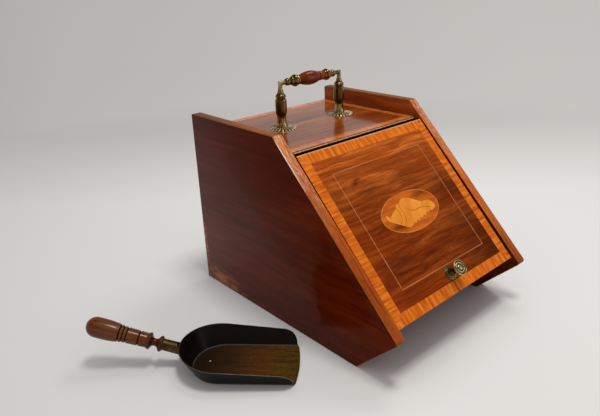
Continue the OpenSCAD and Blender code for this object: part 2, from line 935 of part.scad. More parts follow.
// The space that the pan's round end takes up, filled
module pan_end_block(grow = 0) {
    h = 2 * pan_back_h;
    r = pan_r + grow / cos(pan_flare);
    translate([pan_len - pan_r, 0, 0]) rotate_extrude()
        polygon([[0, 0], [r, 0], [r + h * flare, h], [0, h]]);
}

// The pan seen from its side: the floor reaches past the walls, which fall to the front and
// round down to the floor
wall_back = 2.5;

module pan_side() {
    reach = pan_len + 2 * pan_back_h;
    top_at_end = pan_front_h + (pan_back_h - pan_front_h) * reach / pan_len;
    polygon(rounded([[-pan_bulge, -over], [-pan_bulge, pan_t], [wall_back, pan_t],
        [wall_back, pan_front_h], [reach, top_at_end], [reach, -over]],
        [0, 0, 0, 0.75 * pan_front_h, 0, 0]));
}

module pan_plan() {
    front_r = (pan_r * pan_r + pan_bulge * pan_bulge) / (2 * pan_bulge);
    translate([front_r - pan_bulge, 0]) circle(r = front_r, $fn = 128);
}

module shovel_pan() {
    color(IRON) in_shovel() difference() {
        intersection() {
            union() {
                translate([pan_len - pan_r, 0, 0]) rotate(-90) rotate_extrude(angle = 180) pan_profile();
                for (side = [0, 1]) mirror([0, side, 0]) translate([-pan_bulge, 0, 0])
                    rotate([90, 0, 90]) linear_extrude(pan_len - pan_r + pan_bulge) pan_profile();
            }
            translate([0, far / 2, 0]) rotate([90, 0, 0]) linear_extrude(far) pan_side();
            linear_extrude(far) pan_plan();
        }
        place_rivets() rivet_hole();
    }
}

socket_r = 8.9;
plate_t = 1.2;
plate_out = joint_gap + plate_t;
plate_top = [29, pan_back_h - 2];
plate_corner_r = 5;
rivet_r = 1.5;

// The rivets of the plate as [turn round the pan's end, height]
rivets = [[0, pan_back_h / 3], [-18, pan_back_h - 8], [18, pan_back_h - 8]];

module place_rivets() {
    for (at = rivets) translate([pan_len - pan_r, 0, 0]) rotate(at[0])
        translate([pan_r + at[1] * flare, 0, at[1]]) rotate([0, 90 + pan_flare, 0]) children();
}

module rivet_hole() {
    translate([0, 0, -2 * pan_t]) cylinder(r = rivet_r, h = 4 * pan_t + plate_out);
}

module rivet_head() {
    head_r = 2 * rivet_r;
    rotate_extrude() polygon([[0, 0], [head_r, 0], [head_r - 0.3, 0.7], [head_r - 1.1, 1.3], [0, 1.6]]);
}

module shovel_rivets() {
    seat = pan_t + joint_gap;
    color(IRON) in_shovel() place_rivets() {
        translate([0, 0, -seat]) cylinder(r = rivet_r, h = seat + plate_out);
        translate([0, 0, plate_out]) rivet_head();
        translate([0, 0, -seat]) rotate([180, 0, 0]) rivet_head();
    }
}

// A three-cornered plate that follows the pan's round end and carries the socket
module shovel_plate() {
    color(IRON) in_shovel() difference() {
        intersection() {
            pan_end_block(plate_out);
            translate([pan_len - pan_r, 0, 0]) rotate([90, 0, 90]) linear_extrude(far)
                polygon(rounded([[-plate_top.x, plate_top.y], [0, 0], plate_top],
                    [plate_corner_r, plate_corner_r, plate_corner_r]));
        }
        pan_end_block(joint_gap);
        place_rivets() rivet_hole();
    }
}

// The brass socket, brazed to the plate
module shovel_socket() {
    color(BRASS) in_shovel() difference() {
        in_shaft() translate([0, 0, -socket_r]) cylinder(r1 = socket_r + 0.3, r2 = socket_r - 0.2,
            h = socket_len + socket_r);
        pan_end_block(plate_out + joint_gap);
        in_shaft() translate([0, 0, socket_len - tenon_len]) cylinder(r = tenon_r, h = tenon_len + over);
    }
}

// The turned handle: a tenon, two collars with a waist, and a swelling shaft with grooves
function groove(r, z) = [[r, z - 1.4], [r - 1.3, z - 0.5], [r - 1.3, z + 0.5], [r, z + 1.4]];

module shovel_handle() {
    s = socket_len;
    e = s + shaft_len;
    b = butt_r;
    color(WOOD) in_shovel() in_shaft() difference() {
        rotate_extrude() polygon(concat(
            [[0, s - tenon_len], [tenon_r, s - tenon_len], [tenon_r, s]],
            [[b - 6.4, s], [b - 4.2, s + 1], [b - 3.6, s + 3.2], [b - 4.4, s + 5.4], [b - 7.6, s + 7.4],
             [b - 9.6, s + 10], [b - 9.9, s + 12.6], [b - 9, s + 15.6], [b - 6, s + 17.4],
             [b - 3.2, s + 18.8], [b - 2.7, s + 20.6], [b - 3.4, s + 22.8], [b - 4.3, s + 24.4]],
            groove(b - 4, s + 36.6), groove(b - 3.5, s + 55.3), groove(b - 3, s + 60.8),
            groove(b - 2.2, s + 66.3),
            [[b - 1.2, s + 72.3], [b - 0.3, s + 81.3], [b, s + 91.3]],
            [for (t = [0:0.125:0.999]) [b * cos(90 * t), e - b + b * sin(90 * t)]],
            [[0, e]]));
        translate([0, 0, s - tenon_len - over]) cylinder(r = tang_r, h = tang_len + over);
    }
}

tang_r = 2.5;
tang_len = 60;

module shovel_tang() {
    color(IRON) in_shovel() in_shaft() translate([0, 0, socket_len - tenon_len])
        cylinder(r = tang_r, h = tang_len);
}

left_side_panel();
right_side_panel();
top_board();
top_veneer();
top_crossbanding();
back_panel();
bottom_board();
toe_board();
lid_rests();
glue_blocks();
liner();
liner_ends();
hinge_fixed_leaf();
hinge_pin();
hinge_fixed_screws();
left_rosette();
right_rosette();
left_post();
right_post();
left_elbow();
right_elbow();
grip();
grip_rod();
handle_washers();
handle_nuts();
shovel_bracket();
bracket_screws();
lid_board();
lid_veneer();
lid_crossbanding();
lid_stringing();
lid_oval_border();
lid_oval_ground();
lid_shell();
hinge_moving_leaf();
hinge_moving_screws();
knob_rose();
lid_knob();
knob_screw();
shovel_pan();
shovel_plate();
shovel_socket();
shovel_rivets();
shovel_handle();
shovel_tang();
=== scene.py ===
"""The looks of a slope-front coal scuttle and its shovel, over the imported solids.

Pieces that need a finer surface than the solids are built here and replace them: the side
panels, the turned brass, the wooden turnings and the shovel's pan. Everything gets a node
material, and the scene a floor, soft lamps and the photograph's camera. Profiles are in
millimetres, and everything else is in metres in the row frame.
"""
import math

import bmesh
import bpy
from mathutils import Matrix, Vector


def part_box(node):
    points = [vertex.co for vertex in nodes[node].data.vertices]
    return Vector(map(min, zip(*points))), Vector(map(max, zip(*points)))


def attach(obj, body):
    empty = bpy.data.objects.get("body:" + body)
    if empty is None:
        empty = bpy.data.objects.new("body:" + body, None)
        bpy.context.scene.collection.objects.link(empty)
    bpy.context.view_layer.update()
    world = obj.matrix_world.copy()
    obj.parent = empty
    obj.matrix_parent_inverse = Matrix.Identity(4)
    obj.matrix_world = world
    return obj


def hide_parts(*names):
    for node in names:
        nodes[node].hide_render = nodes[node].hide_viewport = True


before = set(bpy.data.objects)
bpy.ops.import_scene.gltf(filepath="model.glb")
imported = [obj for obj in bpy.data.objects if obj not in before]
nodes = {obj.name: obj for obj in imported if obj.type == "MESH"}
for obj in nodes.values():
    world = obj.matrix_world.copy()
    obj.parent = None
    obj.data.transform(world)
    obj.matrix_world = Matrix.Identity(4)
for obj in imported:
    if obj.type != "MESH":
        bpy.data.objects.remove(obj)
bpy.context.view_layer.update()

MM = 0.001
UP = Vector((0, 0, 1))

# The camera, solved from the photograph's straight edges
CAMERA_AT = (-0.6887, -0.6686, 0.5527)
CAMERA_AZIMUTH = -41.397
CAMERA_ELEVATION = 22.742
CAMERA_ROLL = -2.038
CAMERA_LENS = 34.21
SENSOR_WIDTH = 36

# The handle, in millimetres
HANDLE_H = 78
NECK_R = 3.7
BARREL_R = 10.1
SHOULDER_Z = 57
ROSETTE_R = 26.5
ROSETTE_H = 3.6
ROSETTE_RIM = 2.2
PETALS = 24
STUD = (3, -22.2)
GRIP_LEN = 62
GRIP_R = 12.5

# The knob, in millimetres: its distance from the lid's lower edge, how far out its face begins,
# and the radii of the grooves in that face
KNOB_UP = 31
KNOB_FACE_Z = 20
KNOB_GROOVES = (10.1, 5.4)

# The shovel, in millimetres and degrees. The flare is how far a wall leans out for its height,
# and the two wall heights are those at the front and at the back
SHOVEL_AT = (-232.6, -132)
SHOVEL_TURN = 134.4
PAN_R = 46
PAN_LEN = 159
PAN_WALL = (24, 36)
PAN_FLARE = math.tan(math.radians(27))
PAN_BULGE = 4
PAN_SHEET = 1.6
PAN_INSIDE = PAN_R - PAN_SHEET * (1 / math.cos(math.atan(PAN_FLARE)) - PAN_FLARE)
PAN_BEND = 3.0
PAN_BEND_REACH = 0.12 * PAN_BEND
PAN_BEND_RISE = 0.35 * PAN_BEND
PAN_CORNER_R = 0.75 * PAN_WALL[0]
PAN_WALL_BACK = 2.5
# Where a small pale spot sits on the pan's floor
PAN_PALE_SPOT = (134.3, -5.4)
SOCKET_Z = 27
SOCKET_LEN = 31
HANDLE_RISE = 17
BUTT_R = 15.6
SHAFT_LEN = 118
TENON = (6, 20)

# The softened edges of the side panels, in millimetres
ARRIS = 1.0

# The sky's strength, and each lamp's name, place, aim, size and power
WORLD_LIGHT = 0.78
LAMP_COLOUR = (1, 0.98, 0.95)
LAMPS = (("overhead", (-0.05, -0.38, 2.2), (-0.05, -0.05, 0.0), 0.5, 19),
         ("second", (1.1, 0.1, 2.0), (0, 0, 0.15), 0.8, 9))


def set_camera():
    """The photograph's viewpoint, turned to its azimuth and elevation and rolled."""
    azimuth, elevation, roll = map(math.radians, (CAMERA_AZIMUTH, CAMERA_ELEVATION, CAMERA_ROLL))
    level = math.cos(elevation)
    back = Vector((math.sin(azimuth) * level, -math.cos(azimuth) * level, math.sin(elevation)))
    right = (-back).cross(UP).normalized()
    up = back.cross(right)
    turn = Matrix.Rotation(-roll, 3, -back)
    data = bpy.data.cameras.new("camera")
    data.lens = CAMERA_LENS
    data.sensor_width = SENSOR_WIDTH
    data.clip_start = 0.01
    camera = bpy.data.objects.new("camera", data)
    pose = Matrix((turn @ right, turn @ up, back)).transposed().to_4x4()
    camera.matrix_world = Matrix.Translation(CAMERA_AT) @ pose
    bpy.context.scene.collection.objects.link(camera)
    bpy.context.scene.camera = camera


set_camera()


# ---- places ----

CASE_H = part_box("left_side_panel")[1].z
LEFT_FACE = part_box("left_side_panel")[0].x


def lid_frame():
    """The lid's own axes: X across, Y up the slope, Z out of it, at the middle of the lid."""
    points = [v.co for v in nodes["lid_crossbanding"].data.vertices]
    top = max(points, key=lambda v: v.z)
    nose = min(points, key=lambda v: v.y)
    up_slope = Vector((0, top.y - nose.y, top.z - nose.z))
    centre = Vector((0, (top.y + nose.y) / 2, (top.z + nose.z) / 2))
    turn = Matrix.Rotation(math.atan2(up_slope.z, up_slope.y), 4, "X")
    return Matrix.Translation(centre) @ turn, up_slope.length


LID, LID_LEN = lid_frame()
LID_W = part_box("lid_crossbanding")[1].x * 2


def shovel_frame():
    """The shovel's own axes: X from the middle of its front edge to its handle."""
    at = Matrix.Translation((SHOVEL_AT[0] * MM, SHOVEL_AT[1] * MM, 0))
    return at @ Matrix.Rotation(math.radians(SHOVEL_TURN), 4, "Z")


SHOVEL = shovel_frame()
SHAFT = SHOVEL @ Matrix.Translation(((PAN_LEN + SOCKET_Z * PAN_FLARE) * MM, 0, SOCKET_Z * MM)) \
    @ Matrix.Rotation(math.radians(90 - HANDLE_RISE), 4, "Y")


def post_place(name):
    """The middle of a rosette's foot on the top board."""
    low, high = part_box(name)
    return Matrix.Translation(((low.x + high.x) / 2, (low.y + high.y) / 2, low.z))


LEFT_POST = post_place("left_rosette")
RIGHT_POST = post_place("right_rosette")
BAR_END = Matrix.Translation((0, 0, HANDLE_H * MM)) @ Matrix.Rotation(math.radians(90), 4, "Y")
SPAN = (RIGHT_POST.translation.x - LEFT_POST.translation.x) / MM
KNOB = LID @ Matrix.Translation((0, KNOB_UP * MM - LID_LEN / 2, 0))


# ---- materials ----

def rgb(red, green, blue):
    """A display colour, 0 to 255, as the linear colour that a shader takes."""
    def linear(v):
        v /= 255
        return v / 12.92 if v <= 0.04045 else ((v + 0.055) / 1.055) ** 2.4
    return (linear(red), linear(green), linear(blue), 1.0)


def grey(value):
    return (value, value, value, 1)


WHITE = grey(1)


class Nodes:
    """A node tree. Each call adds a node and returns the socket that carries its result."""

    def __init__(self, tree):
        self.tree = tree

    def feed(self, socket, value):
        if isinstance(value, bpy.types.NodeSocket):
            self.tree.links.new(value, socket)
        else:
            socket.default_value = value

    def add(self, kind, inputs, out=0, **props):
        """A shader node, with its inputs by name or number and its properties."""
        node = self.tree.nodes.new("ShaderNode" + kind)
        for key, value in props.items():
            setattr(node, key, value)
        for key, value in inputs.items():
            self.feed(node.inputs[key], value)
        return node.outputs[out]

    def scaled(self, vector, x, y, z):
        return self.add("VectorMath", {0: vector, 1: (x, y, z)}, operation="MULTIPLY")

    def shifted(self, vector, amount):
        return self.add("VectorMath", {0: vector, 1: amount}, operation="ADD")

    def length(self, vector):
        return self.add("VectorMath", {0: vector}, 1, operation="LENGTH")

    def axes(self, vector):
        split = self.add("SeparateXYZ", {0: vector}).node
        return split.outputs[0], split.outputs[1], split.outputs[2]

    def point(self, x, y, z):
        return self.add("CombineXYZ", {0: x, 1: y, 2: z})

    def noise(self, vector, scale=1.0, detail=4.0, rough=0.55, distortion=0.0):
        return self.add("TexNoise", {"Vector": vector, "Scale": scale, "Detail": detail,
                                     "Roughness": rough, "Distortion": distortion})

    def math(self, operation, a, b=0.0):
        return self.add("Math", {0: a, 1: b}, operation=operation)

    def plus(self, a, b, share=1.0):
        """a and a share of b."""
        return self.math("ADD", a, self.math("MULTIPLY", b, share) if share != 1.0 else b)

    def times(self, a, b):
        return self.math("MULTIPLY", a, b)

    def fit(self, value, low, high, to_low=0.0, to_high=1.0):
        """The range low to high brought to the second range, and held at its ends."""
        return self.add("MapRange", {0: value, 1: low, 2: high, 3: to_low, 4: to_high})

    def spot(self, vector, centre, radii, soft=0.7):
        """1 inside an ellipsoid, falling softly to 0 at its edge."""
        moved = self.shifted(vector, [-c for c in centre])
        return self.fit(self.length(self.scaled(moved, *(1 / r for r in radii))), 1.0, 1 - soft)

    def ramp(self, value, *stops):
        out = self.add("ValToRGB", {0: value})
        elements = out.node.color_ramp.elements
        while len(elements) < len(stops):
            elements.new(0.5)
        for element, (position, colour) in zip(elements, stops):
            element.position = position
            element.color = colour
        return out

    def mix(self, share, a, b, mode="MIX"):
        return self.add("Mix", {0: share, 6: a, 7: b}, 2, data_type="RGBA", blend_type=mode)


class Paint(Nodes):
    """A surface material. base is the colour that a later layer goes over."""

    def __init__(self, name, **sockets):
        self.mat = bpy.data.materials.new(name)
        self.mat.use_nodes = True
        super().__init__(self.mat.node_tree)
        self.bsdf = self.tree.nodes["Principled BSDF"]
        self.base = None
        for key, value in sockets.items():
            self.feed(self.bsdf.inputs[key.replace("_", " ")], value)

    def place(self, matrix=None):
        """The point's position in a local frame, in metres."""
        coords = self.add("TexCoord", {}, "Object")
        if matrix is None:
            return coords
        return self.add("Mapping", {"Vector": coords, "Location": matrix.translation,
                                    "Rotation": matrix.to_euler()}, vector_type="TEXTURE")

    def facing_up(self):
        """How much the surface faces up: 1 when level, 0 when upright."""
        return self.axes(self.add("NewGeometry", {}, "Normal"))[2]

    def pointiness(self):
        """Over 0.5 on a convex edge, under it in a hollow."""
        return self.add("NewGeometry", {}, "Pointiness")

    def bump(self, height, depth, strength=1.0):
        """Height from 0 to 1 as relief of the given depth in metres."""
        self.feed(self.bsdf.inputs["Normal"],
                  self.add("Bump", {"Height": height, "Distance": depth, "Strength": strength}))

    def colour(self, value):
        self.feed(self.bsdf.inputs["Base Color"], value)

    def rough(self, value):
        self.feed(self.bsdf.inputs["Roughness"], value)


ALONG_X = Matrix.Identity(4)
ALONG_Y = Matrix.Rotation(math.radians(90), 4, "Z")


def wood(name, place, dark, mid, light, figure=(9, 110, 110), broad=(3, 14, 14), pores=0.35,
         pore=(60, 1300, 1300), depth=0.00006, contrast=(0.32, 0.68), **sockets):
    """Polished wood with its grain along the local X axis: streaks, broad shade and pores."""
    p = Paint(name, **sockets)
    at = p.place(place)
    bent = p.shifted(at, p.scaled(p.add("TexNoise", {"Vector": at, "Scale": 14.0, "Detail": 1.0}, 1),
                                  0, 0.012, 0.012))
    streaks = p.noise(p.scaled(bent, *figure), 1, 6, 0.62, 0.6)
    shade = p.noise(p.scaled(bent, *broad), 1, 2, 0.5, 0.4)
    tone = p.plus(p.times(streaks, 0.62), shade, 0.38)
    colour = p.ramp(p.fit(tone, *contrast), (0, dark), (0.5, mid), (1, light))
    pits = p.fit(p.noise(p.scaled(at, *pore), 1, 2, 0.5), 0.60, 0.70)
    p.base = p.mix(p.times(pits, pores), colour, [c * 0.25 for c in dark[:3]] + [1])
    p.colour(p.base)
    p.bump(p.math("SUBTRACT", p.times(streaks, 0.3), pits), depth, 0.6)
    return p


def side_wood(name):
    """Dark mahogany with its grain front to back, worn pale at the foot of its rear corner."""
    p = wood(name, ALONG_Y, rgb(63, 15, 2), rgb(82, 21, 3), rgb(105, 36, 8), figure=(5, 60, 60),
             broad=(2, 7, 7), pores=0.25, Roughness=0.11, Specular_IOR_Level=0.07,
             Specular_Tint=(1, 0.35, 0.0, 1))
    at = p.place()
    ragged = p.shifted(at, p.scaled(p.add("TexNoise", {"Vector": at, "Scale": 45.0, "Detail": 3.0}, 1),
                                    0, 0.03, 0.014))
    ragged = p.shifted(ragged, (0, -0.015, -0.007))
    foot = p.spot(ragged, (0, 0.15, 0.004), (9, 0.085, 0.036))
    corner = p.spot(ragged, (0, 0.196, 0.08), (9, 0.011, 0.06))
    grain = p.fit(p.noise(p.scaled(at, 1, 30, 260), 1, 4, 0.6), 0.38, 0.6)
    worn = p.times(p.math("MAXIMUM", foot, corner), grain)
    nick = p.spot(ragged, (0, 0.122, 0.001), (9, 0.007, 0.006))
    p.colour(p.mix(nick, p.mix(worn, p.base, rgb(172, 108, 68)), rgb(30, 12, 6)))
    return p.mat


def inner_wood(name):
    """The panels' inner faces, darkened down from their top edge by painted shade."""
    p = wood(name, ALONG_Y, rgb(110, 40, 6), rgb(160, 70, 16), rgb(206, 108, 40),
             figure=(5, 90, 90), Roughness=0.25, Specular_IOR_Level=0.08)
    z = p.axes(p.place())[2]
    # painted shade: darker down towards the top board and inside the case
    shade = p.ramp(p.fit(z, CASE_H - 0.044, CASE_H), (0, (0.3, 0.24, 0.2, 1)), (1, WHITE))
    p.colour(p.mix(1.0, p.base, shade, "MULTIPLY"))
    return p.mat


# Grain along the panels' sloping edges, and where those edges begin
SLOPED = ALONG_Y @ Matrix.Rotation(math.radians(-45), 4, "Y")
SLOPE_START = -0.026


def edge_wood(name, foot, low, high, crown):
    """A panel's edge: paler mahogany with long open pores, tinted by height and scratched. The
    height tint is darker at the foot, and its paler, pinker upper stops are partly wear and
    partly painted sheen. Its level top is darker, most of all at the back."""
    p = wood(name, SLOPED, rgb(132, 62, 22), rgb(178, 92, 36), rgb(206, 122, 62),
             figure=(8, 160, 160), pores=0.5, pore=(70, 1200, 1200), Roughness=0.34,
             Specular_IOR_Level=0.06)
    x, y, z = p.axes(p.place())
    # partly painted sheen: the paler, pinker upper stops of the height tint, partly wear
    tint = p.ramp(p.fit(z, 0.08, CASE_H), (0.0, foot), (0.3, low), (0.8, high), (1, crown))
    colour = p.mix(1.0, p.base, tint, "MULTIPLY")
    leaning = p.place(SLOPED @ Matrix.Rotation(0.12, 4, "Z"))
    scratch = p.noise(p.scaled(leaning, 90, 900, 900), 1, 3, 0.6)
    pale = p.times(p.fit(scratch, 0.52, 0.62), p.fit(z, 0.2, 0.31))
    pits = p.fit(p.noise(p.scaled(p.place(SLOPED), 55, 700, 700), 1, 3, 0.6), 0.54, 0.66)
    colour = p.mix(p.times(pits, 0.6), colour, rgb(84, 34, 12))
    colour = p.mix(p.times(pale, 0.8), colour, rgb(230, 196, 176))
    level = p.fit(p.facing_up(), 0.85, 0.95)
    shade = p.ramp(p.fit(y, 0.2, 0.0), (0, (0.26, 0.24, 0.24, 1)), (1, (0.5, 0.56, 0.62, 1)))
    p.colour(p.mix(level, colour, p.mix(1.0, p.base, shade, "MULTIPLY")))
    return p.mat


def arris_wood(name):
    """The softened arrises: brightened down the slopes, partly wear and partly painted highlight, with a
    near-white painted highlight where the left one begins.
    """
    p = wood(name, SLOPED, rgb(92, 42, 16), rgb(124, 62, 26), rgb(150, 84, 44),
             figure=(14, 200, 200), pores=0.2, Roughness=0.34, Specular_IOR_Level=0.12)
    at = p.place()
    x, y, z = p.axes(at)
    ragged = p.plus(z, p.noise(at, 90, 3, 0.6), 0.04)
    # painted highlight: near white at the top of the left slope's arris
    high = p.times(p.fit(ragged, 0.27, 0.3), p.fit(z, CASE_H - 0.003, CASE_H - 0.012))
    front = p.math("LESS_THAN", y, SLOPE_START)
    left = p.times(p.math("LESS_THAN", x, LEFT_FACE + 0.0075), front)
    slope = p.times(p.fit(p.facing_up(), 0.25, 0.4), front)
    # partly wear and partly painted highlight: the slope arrises brightened
    painted_highlight = p.mix(1.0, p.base, (2.3, 2.5, 2.4, 1), "MULTIPLY")
    p.colour(p.mix(p.times(high, left), p.mix(slope, p.base, painted_highlight), rgb(240, 222, 208)))
    return p.mat


# Smoky marks in the lid's veneer: their middle, radii and strength
LID_SMOKE = (((-0.073, 0.0785), (0.014, 0.007), 0.8), ((0.112, 0.02), (0.05, 0.03), 0.6),
             ((-0.055, 0.056), (0.03, 0.012), 0.5), ((-0.084, -0.066), (0.05, 0.022), 0.5),
             ((0.1, -0.045), (0.045, 0.02), 0.5), ((0.034, 0.058), (0.05, 0.012), 0.35))


def lid_veneer(name):
    """Figured mahogany across the lid, with smoky marks and a painted sheen: brighter up the slope, and low
    down lighter to the left and darker to the right.
    """
    p = wood(name, LID, rgb(76, 24, 4), rgb(138, 58, 14), rgb(198, 104, 42),
             figure=(8, 150, 150), broad=(4, 22, 22), pores=0.5, contrast=(0.28, 0.71),
             Roughness=0.34, Specular_IOR_Level=0.03)
    at = p.place(LID)
    x, y, z = p.axes(at)
    # painted sheen: darker at the lid's foot, brightest and palest high up the slope
    painted_sheen = p.ramp(p.fit(y, -0.14, 0.14), (0, (0.78, 0.68, 0.5, 1)), (0.5, (0.76, 0.7, 0.5, 1)),
                  (0.75, (1.1, 1.2, 1.25, 1)), (0.9, (1.55, 1.8, 1.95, 1)), (1, (1.25, 1.35, 1.4, 1)))
    # painted sheen and shade: low on the lid, lighter to the left and darker to the right
    lean = p.plus(p.times(p.fit(y, 0.02, -0.12), p.fit(x, -0.13, 0.13, 0.36, -0.6)), 1.0)
    colour = p.mix(1.0, p.mix(1.0, p.base, painted_sheen, "MULTIPLY"), p.point(lean, lean, lean), "MULTIPLY")
    drift = p.shifted(at, p.scaled(p.add("TexNoise", {"Vector": at, "Scale": 30.0, "Detail": 3.0}, 1),
                                   0.05, 0.025, 0))
    drift = p.shifted(drift, (-0.025, -0.0125, 0))
    slanted = p.place(LID @ Matrix.Rotation(0.5, 4, "Z"))
    dark = p.fit(p.noise(p.scaled(slanted, 7, 60, 60), 1, 4, 0.6), 0.58, 0.74, 0, 0.3)
    for centre, radii, share in LID_SMOKE:
        dark = p.math("MAXIMUM", dark, p.times(p.spot(drift, (*centre, 0), (*radii, 1), 0.95), share))
    p.colour(p.mix(dark, colour, rgb(70, 34, 14)))
    return p.mat


def banding(name, place, half_w, half_len, dark, mid, light, painted_highlight=0.0, **sockets):
    """Satinwood crossbanding: bars of light and dark across each mitred strip, and a share of
    pale painted highlight along its upper edge."""
    p = Paint(name, **sockets)
    x, y, z = p.axes(p.place(place))
    to_side = p.math("SUBTRACT", half_w, p.math("ABSOLUTE", x))
    to_end = p.math("SUBTRACT", half_len, p.math("ABSOLUTE", y))
    on_side = p.math("LESS_THAN", to_side, to_end)
    off_side = p.math("SUBTRACT", 1.0, on_side)
    run = p.plus(p.times(on_side, y), p.times(off_side, x))
    over = p.plus(p.times(on_side, x), p.times(off_side, y))
    flat = p.point(run, over, on_side)
    bars = p.noise(p.scaled(flat, 150, 14, 5), 1, 3, 0.6, 0.3)
    lines = p.noise(p.scaled(flat, 900, 30, 5), 1, 2, 0.5)
    tone = p.plus(p.times(bars, 0.75), lines, 0.25)
    colour = p.ramp(p.fit(tone, 0.34, 0.66), (0, dark), (0.45, mid), (1, light))
    # painted highlight: a pale line along the strip's upper edge
    upper = p.times(p.fit(to_end, 2.2 * MM, 0.8 * MM), p.math("GREATER_THAN", y, 0))
    p.colour(p.mix(p.times(upper, painted_highlight), colour, rgb(208, 164, 128)))
    p.bump(lines, 0.00004, 0.5)
    return p.mat


def inlay(name, place, dark, light, scale=(12, 160, 160), **sockets):
    """A plain-grained inlay wood."""
    p = Paint(name, **sockets)
    at = p.place(place)
    grain = p.noise(p.scaled(at, *scale), 1, 4, 0.6, 0.4)
    p.colour(p.ramp(p.fit(grain, 0.33, 0.67), (0, dark), (1, light)))
    p.bump(grain, 0.00003, 0.4)
    return p.mat


def oval_wood(name):
    """The amber ground of the oval, scorched dark beside the shell and at the upper right."""
    p = Paint(name, Roughness=0.32, Specular_IOR_Level=0.04)
    at = p.place(LID)
    grain = p.noise(p.scaled(at, 14, 110, 110), 1, 4, 0.6, 0.4)
    amber = p.ramp(p.fit(grain, 0.33, 0.67), (0, rgb(156, 68, 14)), (1, rgb(214, 112, 34)))
    soft = p.shifted(at, p.scaled(p.add("TexNoise", {"Vector": at, "Scale": 40.0}, 1), 0.02, 0.02, 0))
    soft = p.shifted(soft, (-0.01, -0.01, 0))
    left = p.spot(soft, (-0.042, -0.016, 0), (0.024, 0.012, 1), 0.9)
    upper = p.spot(soft, (0.04, 0.022, 0), (0.026, 0.01, 1), 0.9)
    p.colour(p.mix(p.times(p.math("MAXIMUM", left, upper), 0.75), amber, rgb(84, 34, 10)))
    p.bump(grain, 0.00003, 0.4)
    return p.mat


def metal(name, dark, light, patina=0.5, scale=320, roughness=(0.26, 0.5), relief=0.00004):
    """Old brass: bright on its edges, dark in its hollows, mottled between."""
    p = Paint(name, Metallic=1.0)
    at = p.place()
    mottle = p.noise(at, scale, 4, 0.6)
    cloud = p.noise(at, scale / 6, 3, 0.5)
    worn = p.fit(p.pointiness(), 0.45, 0.55)
    tone = p.plus(p.times(worn, 1 - patina), p.fit(cloud, 0.35, 0.7), patina)
    tone = p.math("SUBTRACT", tone, p.times(p.fit(mottle, 0.5, 0.75), 0.2))
    p.colour(p.ramp(tone, (0, dark), (1, light)))
    p.rough(p.fit(mottle, 0.3, 0.7, *roughness))
    p.bump(mottle, relief, 0.4)
    return p.mat


def arm_brass(name, place):
    """Dark olive brass. The right arm's cup carries a painted red-brown reflection of the wood that it
    mirrors.
    """
    p = Paint(name, Metallic=1.0)
    at = p.place(place)
    mottle = p.noise(at, 260, 4, 0.6)
    cloud = p.noise(at, 50, 3, 0.5)
    worn = p.fit(p.pointiness(), 0.46, 0.55)
    tone = p.plus(p.times(worn, 0.55), p.fit(cloud, 0.35, 0.7), 0.45)
    brass = p.ramp(tone, (0, rgb(48, 36, 16)), (0.5, rgb(116, 98, 56)), (1, rgb(190, 170, 122)))
    # painted reflection: the right arm's cup coloured like the red-brown wood it mirrors
    cup = p.spot(at, (-33 * MM, 0, HANDLE_H * MM), (13 * MM, 20 * MM, 20 * MM), 0.5)
    right = p.math("GREATER_THAN", p.axes(p.place())[0], RIGHT_POST.translation.x - SPAN * MM / 2)
    painted_wood_reflection = p.ramp(tone, (0, rgb(62, 24, 9)), (1, rgb(172, 98, 54)))
    p.colour(p.mix(p.times(cup, right), brass, painted_wood_reflection))
    p.rough(p.fit(mottle, 0.3, 0.7, 0.16, 0.26))
    p.bump(mottle, 0.00002, 0.3)
    return p.mat


def bronze(name, place):
    """A post's metal: gold below its ring and brown up the barrel, both streaked with painted vertical
    reflection bands.
    """
    p = Paint(name, Metallic=1.0)
    at = p.place(place)
    z = p.axes(at)[2]
    # painted reflection: vertical light and dark bands round the post
    streaks = p.noise(p.scaled(at, 300, 300, 9), 1, 3, 0.6)
    tone = p.fit(streaks, 0.36, 0.64)
    barrel = p.ramp(tone, (0, rgb(66, 46, 20)), (0.6, rgb(104, 78, 40)), (1, rgb(148, 122, 76)))
    gold = p.ramp(tone, (0, rgb(96, 72, 28)), (1, rgb(208, 180, 116)))
    ring = (ROSETTE_H + 15.4) * MM
    p.colour(p.mix(p.fit(z, ring + 0.5 * MM, ring - 0.5 * MM), barrel, gold))
    p.rough(p.fit(tone, 0, 1, 0.28, 0.18))
    return p.mat


def rosette_metal(name, place):
    """Grey-green brass, dark in the narrow grooves between its broad petals, with painted highlights on the
    petal ends.
    """
    p = Paint(name, Metallic=0.72)
    at = p.place(place)
    x, y, z = p.axes(at)
    around = p.math("ARCTAN2", y, x)
    rib = p.math("ABSOLUTE", p.math("SINE", p.times(around, PETALS / 2)))
    reach = p.length(p.point(x, y, 0.0))
    # painted highlight: near-white glints on the petal ends
    end = p.times(p.fit(reach, (ROSETTE_R - 3.2) * MM, (ROSETTE_R - 1.2) * MM), p.fit(rib, 0.6, 0.9))
    painted_highlight = p.times(end, p.fit(p.noise(at, 45, 2, 0.5), 0.4, 0.55))
    tone = p.plus(p.fit(rib, 0.36, 0.86, 0.0, 0.6), painted_highlight, 0.4)
    tone = p.math("SUBTRACT", tone, p.fit(p.noise(at, 300, 3, 0.6), 0.45, 0.75, 0, 0.15))
    p.colour(p.ramp(tone, (0, rgb(26, 20, 12)), (0.6, rgb(178, 164, 130)), (1, rgb(255, 250, 232))))
    p.rough(p.fit(rib, 0, 1, 0.5, 0.3))
    return p.mat


